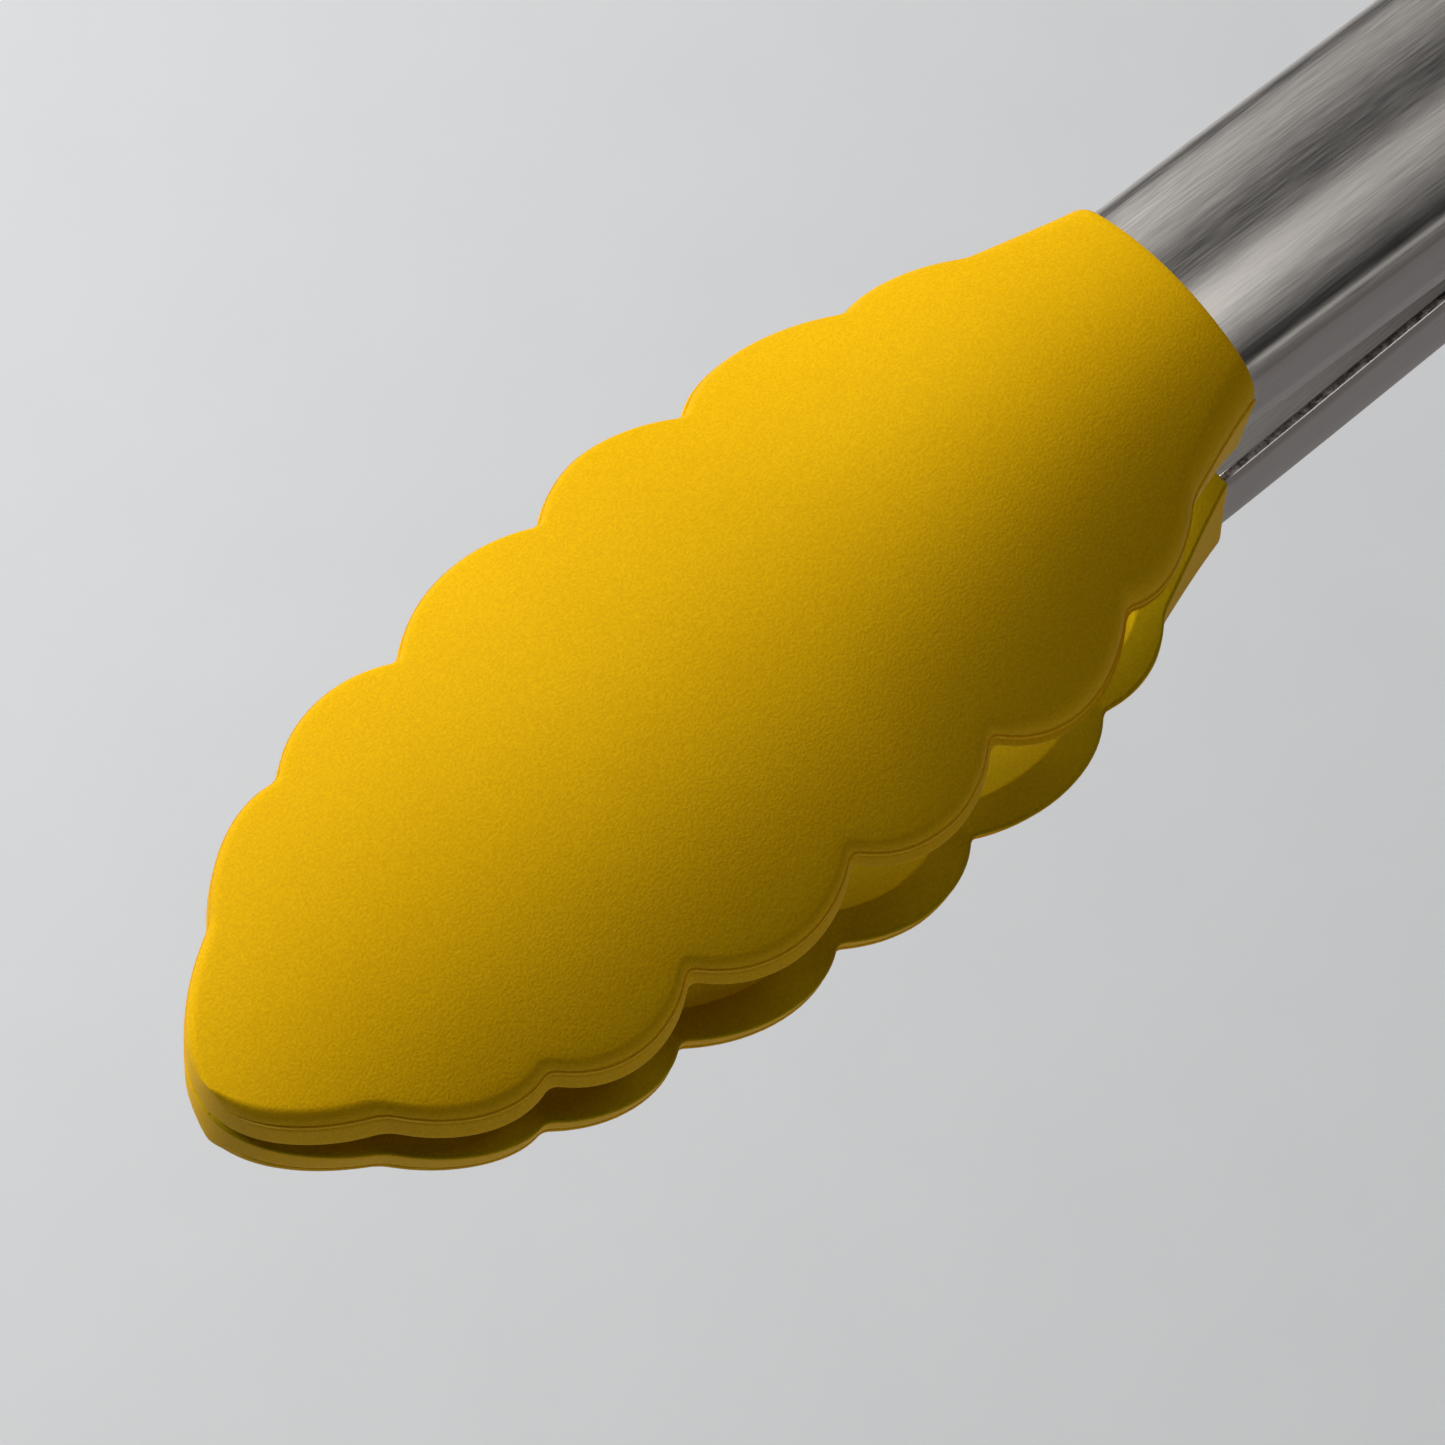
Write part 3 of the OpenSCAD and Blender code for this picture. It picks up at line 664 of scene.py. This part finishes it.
def arm_places():
    """Places of an arm's sections."""
    knee = (EAR_DROP - EAR_HEAD) / math.tan(2 * OPEN_ANGLE)
    places = even(TAIL_X, knee, 5) + even(knee, EAR_FRONT, 8)
    places += even(EAR_FRONT, EAR_FRONT + EAR_RUN, 4)
    places += even(EAR_FRONT + EAR_RUN, EAR_FRONT + JOGGLE_RUN + 2, 8)
    places += even(EAR_FRONT + JOGGLE_RUN + 2, COLLAR_X, 60)
    return places + even(COLLAR_X, STEEL_END_X, 60) + [STEEL_END_X]


def cam_point(f):
    """Place of the cross pin seen from an arm, at share f of its travel."""
    r, a = PIN_BACK - LOCK_TRAVEL * f, math.pi - OPEN_ANGLE * f
    return r * math.cos(a), r * math.sin(a)


def slot_outline(r, steps=12):
    """Outline of the cam slot: two round ends joined along the pin's path."""
    a, b = Vector(cam_point(0)), Vector(cam_point(1))
    heading = math.atan2(b.y - a.y, b.x - a.x)
    ends = [(b, heading - math.pi / 2), (a, heading + math.pi / 2)]
    turns = [(end, start + math.pi * i / steps) for end, start in ends for i in range(steps + 1)]
    return [(end.x + r * math.cos(a), end.y + r * math.sin(a)) for end, a in turns]


def round_outline(r, steps=64):
    """A circle round the pivot."""
    turns = [2 * math.pi * i / steps for i in range(steps)]
    return [(r * math.cos(a), r * math.sin(a)) for a in turns]


def cut_through(piece, outlines, lower):
    """Cuts outlines, given in x and z from the pivot, through a piece along y."""
    reach = ARM_W
    for outline in outlines:
        n = len(outline)
        points = [(x, -reach, z) for x, z in outline] + [(x, reach, z) for x, z in outline]
        faces = [(i, (i + 1) % n, n + (i + 1) % n, n + i) for i in range(n)]
        faces += [tuple(reversed(range(n))), tuple(range(n, 2 * n))]
        mesh = bpy.data.meshes.new("cutter")
        mesh.from_pydata([tuple(p) for p in place(points, lower)], [], faces)
        work = bmesh.new()
        work.from_mesh(mesh)
        bmesh.ops.recalc_face_normals(work, faces=work.faces)
        work.to_mesh(mesh)
        work.free()
        cutter = bpy.data.objects.new("cutter", mesh)
        bpy.context.scene.collection.objects.link(cutter)
        modifier = piece.modifiers.new("cut", "BOOLEAN")
        modifier.operation = "DIFFERENCE"
        modifier.solver = "EXACT"
        modifier.object = cutter
        bpy.context.view_layer.update()
        evaluated = piece.evaluated_get(bpy.context.evaluated_depsgraph_get())
        result = bpy.data.meshes.new_from_object(evaluated)
        piece.modifiers.clear()
        piece.data = result
        bpy.data.objects.remove(cutter)


def steel_arm(which, ear_y, lower):
    """An arm with its rivet bore and cam slot; the sheared edges have their own material."""
    rings = [arm_section(x, ear_y) for x in arm_places()]
    n = len(rings[0])
    rows = len(rings)
    faces = channel_faces(rows, n)
    edges = (n // 2 - 1, n - 1)
    face_slots = [1 if i % n in edges and i < (rows - 1) * n else 0 for i in range(len(faces))]
    piece = make_piece(
        f"steel_arm_{which}", [p for r in rings for p in r], faces, which,
        [STEEL, CUT_EDGE], lower, face_slots=face_slots, stands_for=[f"{which}_arm"], crease=42)
    cut_through(piece, [round_outline(RIVET_R + RUN_FIT), slot_outline(PIN_R + SLOT_FIT)], lower)


# ---- Grips ----

GRIP_T = 2.2
GRIP_END_T = 0.7
GRIP_SEAT = 0.05
GRIP_EDGE = 1.2
RIB_PITCH = 3.2
RIB_DEPTH = 0.55
RIBBED = (0.2, 0.8)


def grip_thick(x):
    """Thickness of a grip: full in the middle, thin at the ends, with cross ribs between."""
    f = min(max((x - GRIP_START) / (GRIP_END - GRIP_START), 0), 1)
    body = GRIP_END_T + (GRIP_T - GRIP_END_T) * math.sqrt(math.sin(math.pi * f))
    fade = min(1, max(0, (f - RIBBED[0]) * 25)) * min(1, max(0, (RIBBED[1] - f) * 25))
    wave = 0.5 - 0.5 * math.cos(2 * math.pi * (x - GRIP_START) / RIB_PITCH)
    return body - RIB_DEPTH * fade * wave ** 3


def grip_section(x):
    """A closed ring of a grip at x."""
    w = steel_w(x, 0)
    f = min(max((x - GRIP_START) / (GRIP_END - GRIP_START), 0), 1)
    t = grip_thick(x)
    end_round = min(1, min(f, 1 - f) * 60)
    t = GRIP_SEAT + (t - GRIP_SEAT) * (0.35 + 0.65 * math.sqrt(end_round))
    edge = steel_edge(x) + GRIP_EDGE
    top, k = ridge(x) - SKIN, crown(x)
    r = ARM_FOLD_R
    outer, foot = back_and_corner(w + t, top + t, k, r + t, 14, 9)
    inner, inner_foot = back_and_corner(w + GRIP_SEAT, top + GRIP_SEAT, k, r, 14, 9)
    e = min(0.5, t * 0.45)
    outer += [(w + t, foot + (edge + e - foot) * i / 4) for i in range(1, 5)]
    outer += arc(w + t - e, edge + e, e, math.pi / 2 * 1.3, math.pi, 3)
    inner += [(w + GRIP_SEAT, inner_foot + (edge - inner_foot) * i / 8) for i in range(1, 9)]
    ring = whole(outer) + list(reversed(whole(inner)))
    return [(x, y, z) for y, z in ring]


def grip(which, lower):
    """A ribbed pad over the back and sides of an arm."""
    rounded = [GRIP_START + d for d in (0, 0.05, 0.15, 0.35, 0.7)]
    middle = even(GRIP_START + 1.1, GRIP_END - 1.1, 240)
    places = rounded + middle + [GRIP_START + GRIP_END - x for x in reversed(rounded)]
    rings = [grip_section(x) for x in places]
    n = len(rings[0])
    make_piece(
        f"grip_pad_{which}", [p for r in rings for p in r], channel_faces(len(rings), n), which,
        [RUBBER], lower, stands_for=[f"{which}_grip"], crease=50)


# ---- Round parts ----


def spun(name, profiles, centre, axis, body, material, stands_for, steps=72):
    """Solids of revolution: each profile is a closed list of (radius, distance along the axis)."""
    points, faces = [], []
    for profile in profiles:
        base, n = len(points), len(profile)
        for s in range(steps):
            a = 2 * math.pi * s / steps
            for r, h in profile:
                c, d = r * math.cos(a), r * math.sin(a)
                local = (d, h, c) if axis == "y" else (h, c, d)
                points.append(tuple(p + q for p, q in zip(centre, local)))
        for s in range(steps):
            a, b = base + s * n, base + (s + 1) % steps * n
            faces += [(a + i, a + (i + 1) % n, b + (i + 1) % n, b + i) for i in range(n)]
    piece = make_piece(name, points, faces, body, [material], stands_for=stands_for, crease=38)
    work = bmesh.new()
    work.from_mesh(piece.data)
    bmesh.ops.remove_doubles(work, verts=work.verts, dist=1e-7)
    bmesh.ops.recalc_face_normals(work, faces=work.faces)
    work.to_mesh(piece.data)
    work.free()


def mirrored(profile):
    """The same profile on the other side of the middle plane."""
    return [(r, -h) for r, h in reversed(profile)]


def tube(inner_r, outer_r, start, end, soft):
    """Closed profile of a ring or tube with softened edges."""
    return [
        (inner_r, start + soft), (inner_r + soft, start), (outer_r - soft, start),
        (outer_r - soft * 0.3, start + soft * 0.3), (outer_r, start + soft), (outer_r, end - soft),
        (outer_r - soft * 0.3, end - soft * 0.3), (outer_r - soft, end), (inner_r + soft, end),
        (inner_r, end - soft),
    ]


AXIS_CENTRE = (0, 0, 0)
CAP_FIT = 0.03
CAP_GAP = 0.3
HEAD_SEAT = UPPER_EAR_Y + RUN_FIT
RIVET_HEAD_R = span_mm("pivot_rivet", 0)[1]
RIVET_END = span_mm("pivot_rivet", 1)[1]
SLEEVE_R = span_mm("pivot_sleeve", 0)[1]
SLEEVE_END = span_mm("pivot_sleeve", 1)[1]
WASHER_R = span_mm("ear_washers", 0)[1]


def pivot_rivet():
    """A shank between two domed heads, with the small flat that the setting tool leaves."""
    rise = RIVET_END - HEAD_SEAT
    ball = (RIVET_HEAD_R ** 2 + rise ** 2) / (2 * rise)
    dome = [
        (RIVET_R, HEAD_SEAT - 0.05), (RIVET_HEAD_R - 0.15, HEAD_SEAT), (RIVET_HEAD_R, HEAD_SEAT + 0.12),
    ]
    for i in range(1, 13):
        r = RIVET_HEAD_R * (1 - i / 12)
        height = HEAD_SEAT + rise - ball + math.sqrt(ball * ball - r * r)
        dome.append((r, min(max(height, HEAD_SEAT + 0.14), RIVET_END - 0.06)))
    profile = [(RIVET_R, 0.0)] + dome + mirrored(dome)
    spun("pivot_pin_domed", [profile], AXIS_CENTRE, "y", "pivot", RIVET_STEEL,
         ["pivot_rivet"])


def pivot_sleeve():
    """The tube that the spring sits on and the bracket slides on."""
    spun("pivot_bush", [tube(RIVET_R + RUN_FIT, SLEEVE_R, -SLEEVE_END, SLEEVE_END, 0.2)],
         AXIS_CENTRE, "y", "pivot", NYLON, ["pivot_sleeve"])


def ear_washers():
    """A thin washer between the nested ears on either side."""
    end = span_mm("ear_washers", 1)[1]
    ring = tube(RIVET_R + RUN_FIT, WASHER_R, end - (EAR_GAP - 0.1), end, 0.12)
    spun("pivot_washers", [ring, mirrored(ring)], AXIS_CENTRE, "y", "pivot", NYLON,
         ["ear_washers"])


def cross_pin_and_caps():
    """The pin that runs in the cam slots, and the caps pushed onto its ends."""
    pin_x = -PIN_BACK
    end = span_mm("lock_cross_pin", 1)[1]
    soft = 0.25
    tip = [
        (PIN_R, end - soft), (PIN_R - soft * 0.3, end - soft * 0.3), (PIN_R - soft, end), (0, end),
    ]
    profile = [(PIN_R, 0.0)] + tip + mirrored(tip)
    spun("cross_pin", [profile], (pin_x, 0, 0), "y", "lock", RIVET_STEEL,
         ["lock_cross_pin"])
    cap_r = (span_mm("cross_pin_caps", 0)[1] - span_mm("cross_pin_caps", 0)[0]) / 2
    ring = tube(PIN_R + CAP_FIT, cap_r, UPPER_EAR_Y + CAP_GAP, end, soft)
    spun("cross_pin_push_caps", [ring, mirrored(ring)], (pin_x, 0, 0), "y", "lock",
         RIVET_STEEL, ["cross_pin_caps"])


def tab_rivet():
    """The rivet that holds the tab to the bracket; its head is on the inside."""
    low, high = span_mm("tab_rivet", 0)
    head_r = span_mm("tab_rivet", 2)[1]
    head_t, shank_r = 0.7, 1.2
    shank = [(0, low), (shank_r - 0.2, low), (shank_r, low + 0.2), (shank_r, high - head_t)]
    head = [
        (head_r, high - head_t), (head_r, high - 0.4), (head_r - 0.2, high - 0.12),
        (head_r * 0.55, high), (0, high),
    ]
    spun("tab_fixing", [shank + head], AXIS_CENTRE, "x", "lock", RIVET_STEEL,
         ["tab_rivet"], 48)


# ---- Spring ----

WIRE_R = 0.8
COIL_FIT = 0.5
TURN_GAP = 0.12
COIL_R = SLEEVE_R + WIRE_R + COIL_FIT
COIL_TURNS = 4
COIL_W = COIL_TURNS * (2 * WIRE_R + TURN_GAP)
LEG_REACH = 36
LEG_Y = COIL_W / 2
LEG_GAP = 0.3
LEG_TOP = ridge(LEG_REACH) - SKIN - SHEET - ARM_CROWN * (LEG_Y + WIRE_R) ** 2 - WIRE_R - LEG_GAP
LEG_RISE = math.atan((LEG_TOP - COIL_R) / LEG_REACH)
LAP = math.radians(20)
WIRE_END_SOFT = 0.2
WIRE_END_SHARE = 0.75


def wire(name, path, body, stands_for=(), sides=16):
    """A round wire with softened ends along a path of points."""
    path = [Vector(p) for p in path]
    turns = [2 * math.pi * s / sides for s in range(sides)]
    rings = []
    for i, p in enumerate(path):
        heading = (path[min(i + 1, len(path) - 1)] - path[max(i - 1, 0)]).normalized()
        side = (Vector((0, 1, 0)) - heading * heading.y).normalized()
        up = heading.cross(side)
        rings.append([p + WIRE_R * (math.cos(a) * side + math.sin(a) * up) for a in turns])
    for end, inward, second_at in ((0, 1, 1), (-1, -1, len(rings))):
        heading = (path[end + inward] - path[end]).normalized()
        second = [q + heading * WIRE_END_SOFT for q in rings[end]]
        rings[end] = [path[end] + (q - path[end]) * WIRE_END_SHARE for q in rings[end]]
        rings.insert(second_at, second)
    points = [tuple(q) for ring in rings for q in ring]
    rows = len(rings)
    faces = ring_faces(rows, sides)
    faces += [tuple(reversed(range(sides))), tuple(range((rows - 1) * sides, rows * sides))]
    make_piece(name, points, faces, body, [SPRING_WIRE], stands_for=stands_for)


def coil_point(turn, y):
    """A point of the coil's middle line; turn is an angle from +x towards +z."""
    return (COIL_R * math.cos(turn), y, COIL_R * math.sin(turn))


def torsion_spring():
    """The coil stays with the pivot, and each leg turns with its arm and laps onto the coil."""
    start = math.pi / 2 + LEG_RISE
    total = 2 * math.pi * COIL_TURNS + math.pi + 2 * LEG_RISE
    steps = 48 * COIL_TURNS
    shares = [i / steps for i in range(steps + 1)]
    coil = [coil_point(start + total * f, COIL_W * (0.5 - f)) for f in shares]
    wire("spring_coil", coil, "pivot", ["torsion_spring"])
    for body, side in (("upper", 1), ("lower", -1)):
        foot = (-COIL_R * math.sin(LEG_RISE), side * LEG_Y, side * COIL_R * math.cos(LEG_RISE))
        tip = (LEG_REACH, side * LEG_Y, side * LEG_TOP)
        straight = [tuple(t + (f - t) * i / 8 for t, f in zip(tip, foot)) for i in range(9)]
        lap_steps = 6
        lap = []
        for i in range(1, lap_steps + 1):
            turned = LAP * i / lap_steps
            angle = start + turned if side == 1 else -start - turned
            lap.append(coil_point(angle, side * COIL_W * (0.5 - turned / total)))
        wire(f"spring_leg_{body}", straight + lap, body)


# ---- Lock bracket ----


def lock_bracket():
    """The bracket keeps its CAD shape, with softened edges."""
    node = frame["nodes"]["lock_bracket"]
    node.data.materials.clear()
    node.data.materials.append(LOCK_STEEL)
    weld = node.modifiers.new("weld", "WELD")
    weld.merge_threshold = 1e-6
    bevel = node.modifiers.new("bevel", "BEVEL")
    bevel.width = 0.00015
    bevel.segments = 2
    bevel.limit_method = "ANGLE"
    bevel.angle_limit = math.radians(40)


# ---- Pull tab ----

TAB_R = (span_mm("pull_tab", 1)[1] - span_mm("pull_tab", 1)[0]) / 2
RING_X = span_mm("pull_tab", 0)[0] + TAB_R
TAB_FRONT = span_mm("pull_tab", 0)[1]
TAB_T = span_mm("pull_tab", 2)[1] - span_mm("pull_tab", 2)[0]
BRACKET_GAP = 0.5
TAB_SIDE_GAP = 0.2
TAB_NECK_W = 2 * (LOWER_EAR_Y - SHEET - BRACKET_GAP) - 2 * TAB_SIDE_GAP
HANG_R = frame["record"]["mounts"][0]["dims"]["r_mm"]
TAB_EDGE_R = 1.1
TAB_DISH = 0.35
NECK_BLEND = 14.0


def tab_radius(angle):
    """Distance of the tab's outline from the middle of its ring, blended where ring meets neck."""
    length, half = TAB_FRONT - RING_X, TAB_NECK_W / 2
    c, s = math.cos(angle), abs(math.sin(angle))
    if c <= 0:
        return TAB_R
    neck = min(length / c, half / s if s > 1e-9 else 1e9)
    if neck < length / c - 1e-9:
        return (TAB_R ** NECK_BLEND + neck ** NECK_BLEND) ** (1 / NECK_BLEND)
    return max(neck, TAB_R)


def pull_tab():
    """A flat ring with a neck: rounded rims outside and inside, and a shallow dish round the hole."""
    steps = 240
    angles = [2 * math.pi * i / steps for i in range(steps)]
    e = TAB_EDGE_R
    half = TAB_T / 2
    turns = [math.pi / 2 * i / 6 for i in range(7)]
    rows = [("hole", 0, 0.0)]
    rows += [("hole", e * (1 - math.cos(t)), half - e + e * math.sin(t)) for t in turns]
    across = (0.12, 0.25, 0.4, 0.55, 0.7, 0.85)
    rows += [("face", f, half - TAB_DISH * math.sin(math.pi * f) ** 2) for f in across]
    rows += [("rim", e * (1 - math.cos(t)), half - e + e * math.sin(t)) for t in reversed(turns)]
    rows += [("rim", 0, 0.0)]

    def row_points(kind, value, z):
        ring = []
        for a in angles:
            outer = tab_radius(a)
            if kind == "hole":
                r = HANG_R + value
            elif kind == "rim":
                r = outer - value
            else:
                r = HANG_R + e + (outer - 2 * e - HANG_R) * value
            ring.append((RING_X + r * math.cos(a), r * math.sin(a), z))
        return ring

    listed = rows + [(k, v, -z) for k, v, z in reversed(rows[1:-1])]
    points = [p for kind, value, z in listed for p in row_points(kind, value, z)]
    n, m = steps, len(listed)
    faces = [
        (s * n + i, ((s + 1) % m) * n + i, ((s + 1) % m) * n + (i + 1) % n, s * n + (i + 1) % n)
        for s in range(m) for i in range(n)
    ]
    piece = make_piece("pull_tab_ring", points, faces, "lock", [TAB_PLASTIC],
                       stands_for=["pull_tab"], crease=50)
    work = bmesh.new()
    work.from_mesh(piece.data)
    bmesh.ops.recalc_face_normals(work, faces=work.faces)
    work.to_mesh(piece.data)
    work.free()


# ---- Stage, light and camera ----

VIEW_AZIMUTH = 41.01
VIEW_ELEVATION = 64.45
VIEW_ROLL = 8.01
VIEW_DISTANCE = 626.27
VIEW_TARGET = (204.366, 2.259, 5.0)
SENSOR = 36.0
LENS = 199.308
FLOOR_DROP = 0.30
FLOOR_HALF = 6.0


def camera():
    """A long lens that looks down on the heads, with the tips towards the lower left."""
    azimuth, elevation = math.radians(VIEW_AZIMUTH), math.radians(VIEW_ELEVATION)
    back = Vector((math.cos(elevation) * math.cos(azimuth), math.cos(elevation) * math.sin(azimuth),
                   math.sin(elevation)))
    target = PIVOT + Vector(VIEW_TARGET) * MM
    right = (-back).cross(Vector((0, 0, 1))).normalized()
    up = right.cross(-back)
    c, s = math.cos(math.radians(VIEW_ROLL)), math.sin(math.radians(VIEW_ROLL))
    right, up = c * right + s * up, c * up - s * right
    data = bpy.data.cameras.new("camera")
    data.sensor_width = SENSOR
    data.lens = LENS
    data.clip_start, data.clip_end = 0.01, 20
    view = bpy.data.objects.new("camera", data)
    axes = Matrix((right, up, back)).transposed().to_4x4()
    view.matrix_world = Matrix.Translation(target + back * VIEW_DISTANCE * MM) @ axes
    bpy.context.scene.collection.objects.link(view)
    bpy.context.scene.camera = view


def floor():
    """A plain pale sheet well below the object."""
    material, add = new_material("floor_paper")
    paper = add("ShaderNodeTexNoise", {
        "Vector": stretched(add, (1, 1, 1)), "Scale": 60.0, "Detail": 3.0, "Roughness": 0.5})
    colour = ramp(add, paper.outputs["Fac"], (0.925, 0.935, 0.945, 1), (0.94, 0.95, 0.96, 1), 0.3, 0.7)
    shader = add("ShaderNodeBsdfPrincipled", {
        "Base Color": colour, "Roughness": 0.9, "Specular IOR Level": 0.1})
    finish_material(add, shader)
    mesh = bpy.data.meshes.new("floor")
    corners = [(-1, -1), (1, -1), (1, 1), (-1, 1)]
    points = [(FLOOR_HALF * x, FLOOR_HALF * y, -FLOOR_DROP) for x, y in corners]
    mesh.from_pydata(points, [], [(0, 1, 2, 3)])
    mesh.materials.append(material)
    sheet = bpy.data.objects.new("floor", mesh)
    bpy.context.scene.collection.objects.link(sheet)


def area_light(name, azimuth, elevation, distance, size, energy):
    """A rectangular soft light that faces the middle of the heads; azimuth from +x towards +y."""
    a, e = math.radians(azimuth), math.radians(elevation)
    aim = PIVOT + Vector(VIEW_TARGET) * MM
    away = Vector((math.cos(e) * math.cos(a), math.cos(e) * math.sin(a), math.sin(e)))
    data = bpy.data.lights.new(name, "AREA")
    data.shape = "RECTANGLE"
    data.size, data.size_y = size
    data.energy = energy
    light = bpy.data.objects.new(name, data)
    light.location = aim + away * distance
    light.rotation_mode = "QUATERNION"
    light.rotation_quaternion = away.to_track_quat("Z", "Y")
    light.visible_camera = False
    bpy.context.scene.collection.objects.link(light)


def lights():
    """A broad key from the near side, and dim strips that the steel's bands mirror."""
    world = bpy.data.worlds.new("studio")
    bpy.context.scene.world = world
    world.use_nodes = True
    background = world.node_tree.nodes["Background"]
    background.inputs["Color"].default_value = (0.92, 0.95, 1.0, 1)
    background.inputs["Strength"].default_value = 0.026
    area_light("key", -80, 28, 0.8, (0.5, 0.36), 7.2)
    area_light("shoulder", -118, 36, 1.0, (0.32, 0.66), 0.52)
    area_light("top", 154, 68, 1.5, (0.76, 0.44), 2.1)
    area_light("fill", 111, 2, 1.2, (0.5, 0.22), 0.42)
    area_light("bounce", 72, -30, 0.6, (0.4, 0.2), 0.45)
    area_light("rear", 25, 46, 1.5, (0.6, 0.18), 0.24)
    area_light("crest", -68, 58, 1.5, (0.6, 0.18), 0.24)


def main():
    """Builds every piece, the stage and the view."""
    for which, ear_y, lower in (("upper", UPPER_EAR_Y, False), ("lower", LOWER_EAR_Y, True)):
        silicone_head(which, lower)
        steel_arm(which, ear_y, lower)
        grip(which, lower)
    pivot_rivet()
    pivot_sleeve()
    ear_washers()
    cross_pin_and_caps()
    tab_rivet()
    torsion_spring()
    lock_bracket()
    pull_tab()
    floor()
    lights()
    camera()
    bpy.context.scene.view_settings.view_transform = "Standard"


main()
